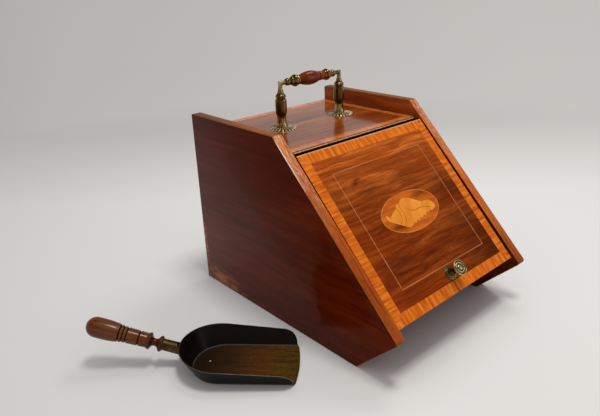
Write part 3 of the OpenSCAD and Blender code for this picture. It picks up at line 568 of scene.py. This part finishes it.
def knob_metal(name):
    """Pale brass, with dirt in the grooves between the knob's rings."""
    p = Paint(name, Metallic=1.0)
    at = p.place(KNOB)
    x, y, z = p.axes(at)
    reach = p.length(p.point(x, y, 0.0))
    dirt = 0.0
    for groove_r in KNOB_GROOVES:
        off = p.math("ABSOLUTE", p.math("SUBTRACT", reach, groove_r * MM))
        dirt = p.math("MAXIMUM", p.fit(off, 1.0 * MM, 0.45 * MM), dirt)
    face = p.math("GREATER_THAN", z, KNOB_FACE_Z * MM)
    mottle = p.noise(at, 420, 3, 0.6)
    clean = p.ramp(mottle, (0.3, rgb(122, 100, 60)), (0.7, rgb(206, 184, 142)))
    stem = p.ramp(mottle, (0.3, rgb(40, 30, 14)), (0.7, rgb(96, 76, 44)))
    p.colour(p.mix(p.times(dirt, face), p.mix(face, stem, clean), rgb(44, 32, 16)))
    p.rough(p.fit(mottle, 0.3, 0.7, 0.28, 0.42))
    return p.mat


def hinge_metal(name):
    """Blackened brass, with a pale painted highlight along the top of the knuckles."""
    p = Paint(name, Metallic=1.0)
    at = p.place()
    z = p.axes(at)[2]
    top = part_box("hinge_fixed_leaf")[1].z
    mottle = p.noise(p.scaled(at, 60, 500, 500), 1, 3, 0.6)
    # painted highlight along the top of the knuckles
    painted_highlight = p.times(p.fit(z, top - 1.1 * MM, top - 0.5 * MM), p.fit(mottle, 0.25, 0.45))
    p.colour(p.mix(painted_highlight, rgb(30, 18, 10), rgb(196, 148, 106)))
    p.rough(p.fit(mottle, 0.3, 0.7, 0.5, 0.65))
    return p.mat


def turned_wood(name, place, dark, mid, light, **sockets):
    """Polished turned wood along the local Z axis, with faint tool rings and dark hollows.
    Gives the paint and the point's height along that axis."""
    p = wood(name, place @ Matrix.Rotation(math.radians(-90), 4, "Y"), dark, mid, light,
             figure=(16, 170, 170), pores=0.2, depth=0.0, **sockets)
    hollow = p.fit(p.pointiness(), 0.492, 0.455)
    p.base = p.mix(hollow, p.base, [c * 0.12 for c in dark[:3]] + [1])
    z = p.axes(p.place(place))[2]
    rings = p.noise(p.point(0.0, 0.0, p.times(z, 900)), 1, 2, 0.5)
    p.bump(rings, 0.00002, 0.5)
    return p, z


def grip_wood(name, place):
    """The grip's dark polished wood, paler on the collar at its right end."""
    p, z = turned_wood(name, place, rgb(66, 19, 3), rgb(101, 38, 8), rgb(136, 64, 20), Roughness=0.2,
                       Specular_IOR_Level=0.22, Specular_Tint=(1, 0.72, 0.5, 1))
    neck = 0.79 * GRIP_LEN * MM
    collar = p.fit(z, neck, neck + 0.03 * GRIP_LEN * MM)
    groove = p.fit(p.math("ABSOLUTE", p.math("SUBTRACT", z, neck)), 1.2 * MM, 0.7 * MM)
    colour = p.mix(collar, p.base, p.mix(1.0, p.base, (1.6, 2.1, 2.4, 1), "MULTIPLY"))
    p.colour(p.mix(groove, colour, rgb(30, 8, 2)))
    return p.mat


def japan(name):
    """Black japanned sheet, worn to a dull brown where coal slides: the pan's floor. Its bend
    carries a grey painted highlight, and one small spot in it is pale."""
    p = Paint(name)
    at = p.place(SHOVEL)
    x, y, z = p.axes(at)
    cloud = p.noise(at, 26, 3, 0.5)
    fine = p.noise(at, 260, 3, 0.6)
    black = p.ramp(cloud, (0.3, rgb(12, 9, 8)), (0.75, rgb(26, 17, 13)))
    inside = p.math("GREATER_THAN", z, 1.2 * MM)
    flat = p.times(p.fit(z, 2.6 * MM, 1.8 * MM), inside)
    along = p.fit(p.plus(x, cloud, 0.03), 0.0, PAN_LEN * MM)
    brown = p.ramp(along, (0.08, rgb(84, 64, 24)), (0.4, rgb(88, 52, 22)), (0.7, rgb(60, 38, 20)),
                   (1, rgb(34, 24, 16)))
    rubs = p.noise(p.scaled(at, 14, 110, 14), 1, 4, 0.65, 0.5)
    speckled = p.mix(p.fit(p.plus(p.times(fine, 0.35), rubs, 0.65), 0.44, 0.62, 0, 0.8), brown,
                     rgb(40, 26, 14))
    colour = p.mix(flat, black, speckled)
    # painted highlight: a grey line along the bend from floor to walls
    bend = p.times(p.times(p.fit(z, 1.9 * MM, 2.5 * MM), p.fit(z, 4.2 * MM, 3.0 * MM)), inside)
    colour = p.mix(p.times(bend, 0.6), colour, rgb(104, 96, 86))
    pale_spot_at = (PAN_PALE_SPOT[0] * MM, PAN_PALE_SPOT[1] * MM, PAN_SHEET * MM)
    pale_spot = p.times(p.spot(at, pale_spot_at, (1.5 * MM, 1.3 * MM, 1), 0.3), inside)
    p.colour(p.mix(pale_spot, colour, rgb(214, 206, 190)))
    p.feed(p.bsdf.inputs["Specular IOR Level"], p.fit(flat, 0, 1, 0.08, 0.0))
    p.rough(p.fit(cloud, 0.3, 0.7, 0.25, 0.38))
    p.bump(p.plus(fine, cloud), 0.00006, 0.4)
    return p.mat


def sheet_iron(name):
    """Dull black sheet under coal dust."""
    p = Paint(name, Metallic=0.4)
    at = p.place()
    dust = p.noise(at, 30, 5, 0.6)
    p.colour(p.ramp(dust, (0.3, rgb(30, 29, 28)), (0.7, rgb(70, 66, 62))))
    p.rough(p.fit(dust, 0.3, 0.7, 0.45, 0.75))
    p.bump(p.noise(at, 260, 3, 0.6), 0.0001, 0.5)
    return p.mat


# ---- meshes ----

def curve(points, steps=5):
    """A smooth line through the points."""
    out = []
    for i in range(len(points) - 1):
        a, b, c, d = (Vector(points[max(0, min(len(points) - 1, i + k))]) for k in (-1, 0, 1, 2))
        for k in range(steps):
            t = k / steps
            out.append(tuple((2 * b + (c - a) * t + (2 * a - 5 * b + 4 * c - d) * t ** 2
                              + (3 * b - a - 3 * c + d) * t ** 3) / 2))
    return out + [tuple(points[-1])]


def piece(name, verts, faces, body, looks, replaces=(), marks=None, crease=32):
    """One piece of the object. looks are its materials, and marks says which each face has."""
    mesh = bpy.data.meshes.new(name)
    mesh.from_pydata([tuple(v) for v in verts], [], faces)
    for look in looks:
        mesh.materials.append(look)
    if marks:
        mesh.polygons.foreach_set("material_index", marks)
    bm = bmesh.new()
    bm.from_mesh(mesh)
    bmesh.ops.remove_doubles(bm, verts=bm.verts, dist=2e-6)
    bmesh.ops.recalc_face_normals(bm, faces=bm.faces)
    for face in bm.faces:
        face.smooth = True
    bm.to_mesh(mesh)
    bm.free()
    mesh.set_sharp_from_angle(angle=math.radians(crease))
    obj = bpy.data.objects.new(name, mesh)
    bpy.context.scene.collection.objects.link(obj)
    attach(obj, body)
    if replaces:
        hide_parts(*replaces)
    return obj


def dress(look, *names):
    """Gives solids of the frame their material."""
    for name in names:
        data = nodes[name].data
        data.materials.clear()
        data.materials.append(look)


def skin(rings):
    """Faces from ring to ring, each ring a closed loop of as many points."""
    count = len(rings[0])
    verts = [v for ring in rings for v in ring]
    faces = [(r * count + i, r * count + (i + 1) % count, (r + 1) * count + (i + 1) % count,
              (r + 1) * count + i) for r in range(len(rings) - 1) for i in range(count)]
    return verts, faces


def grid(rows, width, start=0):
    """Faces over rows of as many points, whose first point has the index start."""
    corners = ((0, 0), (1, 0), (1, 1), (0, 1))
    return [tuple(start + (r + dr) * width + i + di for dr, di in corners)
            for r in range(rows - 1) for i in range(width - 1)]


def circle(radius, height, place, turns=64):
    """A ring of points about the local Z axis, its radius and height in millimetres."""
    return [place @ Vector((radius * MM * math.cos(math.tau * i / turns),
                            radius * MM * math.sin(math.tau * i / turns), height * MM))
            for i in range(turns)]


def turning(name, profile, place, body, look, replaces=(), turns=64, crease=32):
    """A lathe-turned piece about the local Z axis, from its profile of (radius, height)."""
    verts, faces = skin([circle(r, z, place, turns) for r, z in profile])
    return piece(name, verts, faces, body, [look], replaces, crease=crease)


def side_panel(node, looks):
    """A side panel with softened arrises, from the outline of the solid's outer face. Its looks
    are those of its outer face, inner face, edges and arrises."""
    low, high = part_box(node)
    outer, inner = (low.x, high.x) if low.x < 0 else (high.x, low.x)
    outline = {(round(v.co.y, 6), round(v.co.z, 6)) for v in nodes[node].data.vertices
               if abs(v.co.x - outer) < 1e-6}
    middle = Vector((sum(p[0] for p in outline), sum(p[1] for p in outline))) / len(outline)
    outline = sorted(outline, key=lambda p: math.atan2(p[1] - middle.y, p[0] - middle.x))
    bm = bmesh.new()
    loops = [[bm.verts.new((x, *p)) for p in outline] for x in (outer, inner)]
    rims = [edge for loop in loops for edge in bm.faces.new(loop).edges]
    for i in range(len(outline)):
        j = (i + 1) % len(outline)
        bm.faces.new((loops[0][i], loops[0][j], loops[1][j], loops[1][i]))
    bmesh.ops.recalc_face_normals(bm, faces=bm.faces)
    bmesh.ops.bevel(bm, geom=rims, offset=ARRIS * MM, segments=3, profile=0.5, affect="EDGES")
    verts = [v.co.copy() for v in bm.verts]
    polygons = [[v.index for v in f.verts] for f in bm.faces]
    outward = [f.normal.x * math.copysign(1, outer) for f in bm.faces]
    marks = [0 if n > 0.99 else 1 if n < -0.99 else 2 if abs(n) < 0.05 else 3 for n in outward]
    bm.free()
    return piece("fine_" + node, verts, polygons, "case", looks, [node], marks, 40)


def make_rosette(side, place):
    """A low dome of ribs that end in rounded petals at the rim."""
    steps, rings, hub, notch, groove = 8, 16, 8, 2.2, 1.9
    loops = []
    for k in range(rings + 1):
        t = k / rings
        dome = ROSETTE_RIM * (1 - t ** 8) + (ROSETTE_H - 0.2 - ROSETTE_RIM) * (1 - t)
        loop = []
        for i in range(PETALS * steps):
            swell = abs(math.sin(math.pi * i / steps)) ** 0.55
            radius = hub + (ROSETTE_R - notch * (1 - swell) - hub) * t
            height = max(0.4, dome - groove * min(1, 4 * t) * (1 - swell))
            angle = math.tau * i / (PETALS * steps)
            loop.append((radius * math.cos(angle), radius * math.sin(angle), height))
        loops.append(loop)
    loops.append([(x, y, 0) for x, y, z in loops[-1]])
    verts, faces = skin(loops)
    return piece(f"fine_{side}_rosette", [place @ (Vector(v) * MM) for v in verts], faces, "case",
                 [rosette_metal(f"rosette_brass_{side}", place)], [f"{side}_rosette"], crease=50)


def post_profile():
    """A post from the end of its stud to its shoulder: flared foot, ring, barrel and cap."""
    b, foot, top = BARREL_R, ROSETTE_H, SHOULDER_Z
    return ([(0, STUD[1]), (STUD[0], STUD[1]), (STUD[0], foot - 1), (b + 0.7, foot - 1),
             (b + 0.7, foot + 1.3)]
            + curve([(b + 0.6, foot + 1.8), (b - 0.2, foot + 3.2), (b - 1.2, foot + 6),
                     (b - 1.9, foot + 10), (b - 2.3, foot + 14.8)])
            + curve([(b - 2.1, foot + 15.1), (b - 1.4, foot + 16.7), (b - 2, foot + 18.2)], 3)
            + curve([(b - 2.6, foot + 18.5), (b - 1.2, foot + 20.2), (b - 0.4, foot + 23), (b, foot + 28),
                     (b - 0.1, top - 12), (b - 0.4, top - 7.4), (b - 1.3, top - 5.2)])
            + [(b - 2.6, top - 4.7), (b - 2.6, top - 3.2)]
            + curve([(b - 1.4, top - 2.9), (b - 0.9, top - 1.7), (b - 1.1, top - 0.5)], 3)
            + [(b - 1.6, top), (0, top)])


def neck_profile():
    """The bell over a post and the neck that rises from it."""
    s, n, z = BARREL_R - 1.6, NECK_R, SHOULDER_Z
    bell = curve([(s, z), (s, z + 1.2), (s - 1.6, z + 2.6), (s - 2.8, z + 5), (n + 0.8, z + 9),
                  (n, z + 13.5)])
    return [(0, z)] + bell + [(n, HANDLE_H - n)]


def arm_profile():
    """The arm from the corner to the cup that holds the grip, with its three swellings."""
    n, cup = NECK_R, (SPAN - GRIP_LEN) / 2
    return ([(n, n), (n, cup - 29.6)]
            + curve([(n + 0.1, cup - 29.4), (n + 1.7, cup - 27.6), (n + 2.7, cup - 24.6),
                     (n + 2.7, cup - 22.6), (n + 1.7, cup - 19.6), (n - 0.2, cup - 18)])
            + curve([(n - 0.2, cup - 17.9), (n + 1.8, cup - 17.2), (n + 3.4, cup - 15.4),
                     (n + 3.4, cup - 13.6), (n + 2.3, cup - 12.9)])
            + curve([(n + 2.3, cup - 12.2), (n + 4.2, cup - 11.6), (n + 6, cup - 9.6), (n + 6.6, cup - 7.6),
                     (n + 6.4, cup - 5.8), (n + 5.5, cup - 4.3)])
            + [(n + 4.2, cup - 4), (n + 4.2, cup - 3.2)]
            + curve([(n + 5, cup - 2.9), (n + 5.4, cup - 1.9), (n + 5, cup - 0.7)], 3)
            + [(n + 4.4, cup), (0, cup)])


def grip_profile():
    """The grip: a long swelling, a groove and a collar at its right end."""
    r, l = GRIP_R - 0.05, GRIP_LEN
    return ([(2.5, 0), (r - 5.8, 0)]
            + curve([(r - 5.6, 0.1), (r - 3.6, 0.12 * l), (r - 1.4, 0.25 * l), (r, 0.44 * l),
                     (r - 0.9, 0.6 * l), (r - 3.5, 0.765 * l)], 8)
            + [(r - 5.2, 0.78 * l), (r - 5.2, 0.8 * l)]
            + curve([(r - 4.2, 0.812 * l), (r - 4.2, 0.88 * l), (r - 5.2, l - 0.1)]) + [(2.5, l)])


def elbow(side, place, look):
    """The bell over a post, its neck, the mitred corner and the arm to the grip."""
    turned = place @ Matrix.Diagonal((1 if side == "left" else -1, 1, 1, 1))
    level = circle(NECK_R, 0, Matrix.Identity(4))
    corner = [turned @ Vector((v.x, v.y, HANDLE_H * MM - v.x)) for v in level]
    rings = [circle(r, z, turned) for r, z in neck_profile()] + [corner]
    rings += [circle(r, z, turned @ BAR_END) for r, z in arm_profile()]
    verts, faces = skin(rings)
    return piece(f"fine_{side}_elbow", verts, faces, "case", [look], [f"{side}_elbow"])


def make_handle():
    """The turned handle, and the small brass pieces and the hinge in their own brass."""
    brass = metal("antique_brass", rgb(44, 34, 16), rgb(158, 142, 96), patina=0.6,
                  roughness=(0.22, 0.4))
    for side, place in (("left", LEFT_POST), ("right", RIGHT_POST)):
        make_rosette(side, place)
        turning(f"fine_{side}_post", post_profile(), place, "case",
                bronze(f"post_bronze_{side}", place), [f"{side}_post"])
        elbow(side, place, arm_brass(f"arm_brass_{side}", place))
    place = LEFT_POST @ BAR_END @ Matrix.Translation((0, 0, (SPAN - GRIP_LEN) / 2 * MM))
    turning("fine_grip", grip_profile(), place, "case",
            grip_wood("grip_wood", place), ["grip"])
    dress(brass, "handle_washers", "handle_nuts", "shovel_bracket", "bracket_screws", "knob_screw")
    dress(hinge_metal("blackened_hinge"), "hinge_fixed_leaf", "hinge_pin", "hinge_fixed_screws",
          "hinge_moving_leaf", "hinge_moving_screws")


def make_knob():
    """The knob's low rose, and the knob with its stem, rim, ring and dome."""
    rose = (curve([(11.9, 0.3), (12, 1), (11.3, 1.8), (10.4, 2)], 3)
            + curve([(9.6, 1.5), (9, 2.6), (8.2, 3)], 3) + [(0, 3)])
    turning("fine_knob_rose", [(0, 0), (11.9, 0)] + rose, KNOB, "lid",
            metal("rose_brass", rgb(24, 15, 6), rgb(140, 120, 84), patina=0.15, scale=400), ["knob_rose"])
    stem = curve([(7.4, 3), (6.8, 4.4), (5, 7), (4.2, 11), (5, 15.8), (8, 18.4), (11.6, 20)])
    rim = curve([(12.2, 20.4), (12.75, 21.4), (12.7, 22.8), (11.8, 23.9), (10.9, 23.5), (10.5, 21.8)], 4)
    ring = curve([(9.6, 21.8), (9.2, 23.5), (7.8, 24.4), (6.4, 23.8), (5.8, 22.2)], 5)
    dome = curve([(5, 22.2), (4.6, 23.7), (2.8, 24.7), (0.01, 24.95)], 5)
    turning("fine_lid_knob", [(0, 3)] + stem + rim + ring + dome, KNOB, "lid",
            knob_metal("knob_brass"), ["lid_knob"])


def pan_front(y):
    """How far forward the floor's edge is at a distance from its middle."""
    radius = (PAN_R ** 2 + PAN_BULGE ** 2) / (2 * PAN_BULGE)
    return radius - PAN_BULGE - math.sqrt(radius ** 2 - y ** 2)


def pan_rim(s):
    """The height of the pan's rim at a distance from its front."""
    return PAN_WALL[0] + (PAN_WALL[1] - PAN_WALL[0]) * s / PAN_LEN


def pan_section(top, floor_steps=8, bend_steps=4, wall_steps=12):
    """Half a cross-section from the middle to a rim at the height top, as (distance, height)."""
    flat = [((PAN_INSIDE - PAN_BEND) * k / floor_steps, PAN_SHEET) for k in range(floor_steps + 1)]
    bend = [(PAN_INSIDE - PAN_BEND * (1 - t) ** 2 + PAN_BEND_REACH * t,
             PAN_SHEET + PAN_BEND_RISE * t ** 2)
            for t in (k / bend_steps for k in range(1, bend_steps + 1))]
    foot_d, foot_z = bend[-1]
    wall = [(foot_d + PAN_FLARE * rise, foot_z + rise)
            for rise in ((top - foot_z) * k / wall_steps for k in range(1, wall_steps + 1))]
    return flat + bend + wall


def pan_start(d, z):
    """How far back the sheet begins at a point of the front's cross-section. The walls lean back
    and end in a rounded corner."""
    if z <= PAN_SHEET + 0.01:
        return pan_front(min(d, PAN_R))
    lift = max(0, z - (PAN_WALL[0] - PAN_CORNER_R))
    arc = PAN_CORNER_R - math.sqrt(max(0, PAN_CORNER_R ** 2 - lift ** 2))
    return min(1, (z - PAN_SHEET) / 2) * PAN_WALL_BACK + arc


def pan_run(straight, steps=24):
    """Cross-sections from the front to where the pan's round end starts."""
    rows = []
    for k in range(steps + 1):
        half = []
        for j, (d, z) in enumerate(pan_section(PAN_WALL[0])):
            first = pan_start(d, z)
            s = first + (straight - first) * k / steps
            half.append((s, *pan_section(pan_rim(s))[j]))
        rows.append(half[::-1] + [(s, -d, z) for s, d, z in half[1:]])
    return rows


def pan_end(straight, steps=36):
    """Half cross-sections turned about the middle of the pan's round end, where the wall grows
    taller but its foot stays level."""
    foot = PAN_SHEET + PAN_BEND_RISE + 0.01
    furthest = PAN_LEN * 1.1
    rows = []
    for k in range(steps + 1):
        angle = math.pi * (0.5 - k / steps)
        row = []
        for d, z in pan_section(pan_rim(straight)):
            s = min(straight + d * math.cos(angle), furthest)
            height = z if z < foot else z * pan_rim(s) / pan_rim(straight)
            reach = d + (height - z) * PAN_FLARE
            row.append((straight + reach * math.cos(angle), reach * math.sin(angle), height))
        rows.append(row)
    return rows


def make_pan(look, rim_look):
    """The pan as one bent sheet: floor, a soft bend, leaning walls and a rounded front."""
    straight = PAN_LEN - PAN_R
    run, end = pan_run(straight), pan_end(straight)
    verts = [Vector(p) for row in run + end for p in row]
    faces = (grid(len(run), len(run[0]))
             + grid(len(end), len(end[0]), start=len(run) * len(run[0])))
    obj = piece("fine_shovel_pan", [SHOVEL @ (v * MM) for v in verts], faces, "shovel",
                [look, rim_look], ["shovel_pan"], crease=50)
    solid = obj.modifiers.new("sheet", "SOLIDIFY")
    solid.thickness = PAN_SHEET * MM
    solid.offset = 1
    solid.material_offset_rim = 1
    return obj


def shovel_handle_profile():
    """The shovel's handle: tenon, collars, three grooves and a round butt."""
    s, b = SOCKET_LEN, BUTT_R - 0.05
    e = s + SHAFT_LEN

    def groove(r, z):
        return [(r, z - 1.4), (r - 0.8, z - 0.9), (r - 1.5, z), (r - 0.8, z + 0.9), (r, z + 1.4)]

    return ([(0, s - TENON[1]), (TENON[0], s - TENON[1]), (TENON[0], s), (b - 6.4, s)]
            + curve([(b - 5.6, s + 0.1), (b - 4.2, s + 1), (b - 3.6, s + 3.2), (b - 4.4, s + 5.4),
                     (b - 7.6, s + 7.4), (b - 9.6, s + 10), (b - 9.9, s + 12.6), (b - 9, s + 15.6),
                     (b - 6, s + 17.4), (b - 3.2, s + 18.8), (b - 2.7, s + 20.6), (b - 3.4, s + 22.8),
                     (b - 4.5, s + 24.4)], 4)
            + curve([(b - 4.4, s + 25), (b - 4.2, s + 30), (b - 4, s + 35.1)], 4) + groove(b - 4, s + 36.6)
            + groove(b - 3.5, s + 55.3) + groove(b - 3, s + 60.8) + groove(b - 2.2, s + 66.3)
            + curve([(b - 1.9, s + 67.9), (b - 1.2, s + 72.3), (b - 0.3, s + 81.3), (b, s + 91.3),
                     (b, e - b)], 4)
            + [(b * math.cos(a), e - b + b * math.sin(a)) for a in (math.pi / 18 * k for k in range(1, 10))])


def make_shovel():
    """The pan, the turned handle, and the socket, plate and rivets between them."""
    black = japan("black_japan")
    rim = metal("worn_steel_edge", rgb(46, 40, 34), rgb(128, 116, 98), roughness=(0.4, 0.6))
    make_pan(black, rim)
    p, z = turned_wood("shovel_handle_wood", SHAFT, rgb(66, 30, 10), rgb(102, 54, 22),
                       rgb(138, 82, 42), Roughness=0.2, Specular_IOR_Level=0.24)
    collars = p.fit(z, (SOCKET_LEN + 25) * MM, (SOCKET_LEN + 20) * MM)
    p.colour(p.mix(collars, p.base, p.mix(1.0, p.base, (0.42, 0.34, 0.3, 1), "MULTIPLY")))
    turning("fine_shovel_handle", shovel_handle_profile(), SHAFT, "shovel", p.mat,
            ["shovel_handle"])
    dress(metal("socket_brass", rgb(48, 36, 20), rgb(104, 84, 52), patina=0.8, scale=160,
                roughness=(0.42, 0.55)), "shovel_socket")
    dress(black, "shovel_plate", "shovel_rivets")


def make_case():
    """The side panels with their softened arrises, and every other piece of the case."""
    face, inside = side_wood("side_mahogany"), inner_wood("inner_mahogany")
    arris = arris_wood("rubbed_mahogany")
    # the edges' height tints, foot to crown; their paler upper stops are partly painted sheen
    left = edge_wood("left_edge_mahogany", (0.85, 0.7, 0.42, 1), (0.9, 0.74, 0.45, 1), (1.15, 1.2, 1.3, 1),
                     (1.15, 1.35, 1.7, 1))
    right = edge_wood("right_edge_mahogany", (0.6, 0.5, 0.45, 1), (1.2, 1.1, 0.9, 1), (1.35, 1.4, 1.4, 1),
                      (1.25, 1.35, 1.5, 1))
    side_panel("left_side_panel", [face, inside, left, arris])
    side_panel("right_side_panel", [face, inside, right, arris])
    deal = wood("deal", ALONG_X, rgb(120, 84, 54), rgb(150, 110, 74), rgb(172, 132, 92),
                figure=(4, 50, 50), pores=0.15, Roughness=0.65, Specular_IOR_Level=0.3)
    dress(deal.mat, "bottom_board", "glue_blocks", "lid_rests")
    board = wood("board_mahogany", ALONG_X, rgb(60, 20, 8), rgb(92, 36, 14), rgb(118, 54, 26),
                 figure=(4, 60, 60), Roughness=0.42, Specular_IOR_Level=0.15)
    dress(board.mat, "top_board", "back_panel", "toe_board")
    veneer = wood("top_mahogany", ALONG_X, rgb(76, 25, 5), rgb(120, 52, 12), rgb(164, 88, 32),
                  figure=(5, 90, 90), broad=(3, 18, 18), Roughness=0.12, Specular_IOR_Level=0.42)
    dress(veneer.mat, "top_veneer")
    low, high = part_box("top_crossbanding")
    middle = Matrix.Translation((low + high) / 2)
    dress(banding("top_satinwood", middle, high.x, (high.y - low.y) / 2, rgb(140, 66, 22),
                  rgb(182, 100, 42), rgb(204, 128, 68), Roughness=0.15, Specular_IOR_Level=0.38),
          "top_crossbanding")
    dress(sheet_iron("dusty_iron"), "liner", "liner_ends")
    dress(metal("dull_iron", rgb(40, 38, 36), rgb(110, 106, 100), roughness=(0.4, 0.6)),
          "grip_rod", "shovel_tang")


def make_lid():
    """The lid's board, its veneer and banding, and the inlaid lines, oval and shell."""
    board = wood("lid_mahogany", LID, rgb(66, 22, 6), rgb(104, 42, 14), rgb(134, 62, 26),
                 Roughness=0.4, Specular_IOR_Level=0.1)
    dress(board.mat, "lid_board")
    dress(lid_veneer("figured_mahogany"), "lid_veneer")
    # the lid's banding takes a 0.8 share of painted highlight along its upper edge
    dress(banding("lid_satinwood", LID, LID_W / 2, LID_LEN / 2, rgb(150, 62, 10), rgb(206, 98, 20),
                  rgb(232, 140, 48), 0.8, Roughness=0.32, Specular_IOR_Level=0.06),
          "lid_crossbanding")
    dress(inlay("boxwood_line", LID, rgb(156, 84, 38), rgb(192, 120, 68), Roughness=0.35,
                Specular_IOR_Level=0.06), "lid_stringing")
    dress(inlay("boxwood_ring", LID, rgb(180, 98, 34), rgb(212, 132, 58), Roughness=0.35,
                Specular_IOR_Level=0.04), "lid_oval_border")
    dress(oval_wood("oval_wood"), "lid_oval_ground")
    dress(inlay("shell_wood", LID @ Matrix.Rotation(math.radians(60), 4, "Z"), rgb(212, 118, 32),
                rgb(236, 152, 58), (8, 40, 40), Roughness=0.32, Specular_IOR_Level=0.04),
          "lid_shell")


# ---- floor and light ----

# The floor's half size, and how far from the origin it fades to an even tone
FLOOR_HALF = 20.0
FADE = (0.8, 1.7)
# The point under the camera, with Y the way that it looks
VIEW_FOOT = (Matrix.Translation((CAMERA_AT[0], CAMERA_AT[1], 0))
             @ Matrix.Rotation(math.radians(CAMERA_AZIMUTH), 4, "Z"))
# Where the window that polished surfaces mirror stands, and its light
WINDOW_AZIMUTH = math.radians(-59)
WINDOW_LIGHT = (2.4, 2.35, 2.2, 1)


def set_stage():
    """A pale paper floor with painted light falloff, darker far off and to the left, that fades to
    an even tone past the object's shadows; that far tone is an emission standing in for lit paper."""
    mesh = bpy.data.meshes.new("floor")
    h = FLOOR_HALF
    mesh.from_pydata([(-h, -h, 0), (h, -h, 0), (h, h, 0), (-h, h, 0)], [], [(0, 1, 2, 3)])
    floor = bpy.data.objects.new("floor", mesh)
    bpy.context.scene.collection.objects.link(floor)
    p = Paint("floor_paper", Roughness=0.9, Specular_IOR_Level=0.1)
    across, away = p.axes(p.place(VIEW_FOOT))[:2]
    # painted light falloff: the paper darkens with distance
    paper = p.ramp(p.fit(p.math("LOGARITHM", away, 10.0), math.log10(0.6), math.log10(12.0)),
                   (0, rgb(221, 220, 217)), (0.2, rgb(223, 222, 220)), (0.283, rgb(223, 223, 221)),
                   (0.338, rgb(216, 213, 210)), (0.418, rgb(200, 196, 193)), (0.6, rgb(197, 193, 190)),
                   (1, rgb(195, 191, 188)))
    slant = p.math("DIVIDE", across, away)
    # painted light falloff: darker to the left near the object
    near_left_falloff = p.fit(slant, -0.65, -0.1, 0.89, 1.0)
    p.colour(p.mix(1.0, paper, p.point(near_left_falloff, near_left_falloff, near_left_falloff), "MULTIPLY"))
    # painted light falloff to the left, on the far paper that lights itself
    far_left_falloff = p.ramp(p.fit(slant, -0.6, 0.4), (0, grey(0.76)), (0.2, grey(0.85)), (0.6, grey(0.94)),
                      (1, WHITE))
    far = p.add("Emission", {"Color": p.mix(1.0, paper, far_left_falloff, "MULTIPLY"), "Strength": 1.0})
    faded = p.fit(p.length(p.place()), *FADE)
    out = p.add("MixShader", {0: faded, 1: p.bsdf.outputs[0], 2: far})
    p.feed(p.tree.nodes["Material Output"].inputs["Surface"], out)
    mesh.materials.append(p.mat)


def set_world():
    """Soft light from all round. What polished surfaces mirror is pale low down and dark above,
    with a narrow bright window in front."""
    world = bpy.data.worlds.new("studio")
    world.use_nodes = True
    bpy.context.scene.world = world
    w = Nodes(world.node_tree)
    path = w.add("LightPath", {}).node
    glossy = path.outputs["Is Glossy Ray"]
    mirrored = w.math("MAXIMUM", w.math("MAXIMUM", path.outputs["Is Camera Ray"], glossy),
                      path.outputs["Is Transmission Ray"])
    x, y, z = w.axes(w.add("TexCoord", {}, "Generated"))
    backdrop = w.ramp(z, (0.4, rgb(192, 190, 187)), (0.62, rgb(74, 70, 66)))
    turn = w.math("SUBTRACT", w.math("ARCTAN2", y, x), WINDOW_AZIMUTH)
    window = w.times(w.fit(w.math("ABSOLUTE", turn), 0.22, 0.14), w.fit(z, 0.7, 0.6))
    backdrop = w.mix(w.times(window, glossy), backdrop, WINDOW_LIGHT)
    ceiling = w.ramp(z, (0.0, (0.24, 0.2, 0.18, 1)), (1, (0.95, 0.97, 1.0, 1)))
    soft = w.add("Background", {"Color": ceiling, "Strength": WORLD_LIGHT})
    shown = w.add("Background", {"Color": backdrop, "Strength": 1.0})
    light = w.add("MixShader", {0: mirrored, 1: soft, 2: shown})
    w.feed(w.tree.nodes["World Output"].inputs["Surface"], light)


def lamp(name, at, towards, size, power):
    """A square soft lamp."""
    data = bpy.data.lights.new(name, "AREA")
    data.size = size
    data.energy = power
    data.color = LAMP_COLOUR
    obj = bpy.data.objects.new(name, data)
    obj.location = at
    obj.rotation_euler = (Vector(towards) - Vector(at)).to_track_quat("-Z", "Y").to_euler()
    bpy.context.scene.collection.objects.link(obj)


make_case()
make_lid()
make_handle()
make_knob()
make_shovel()
set_stage()
set_world()
for settings in LAMPS:
    lamp(*settings)
bpy.context.scene.view_settings.view_transform = "Standard"
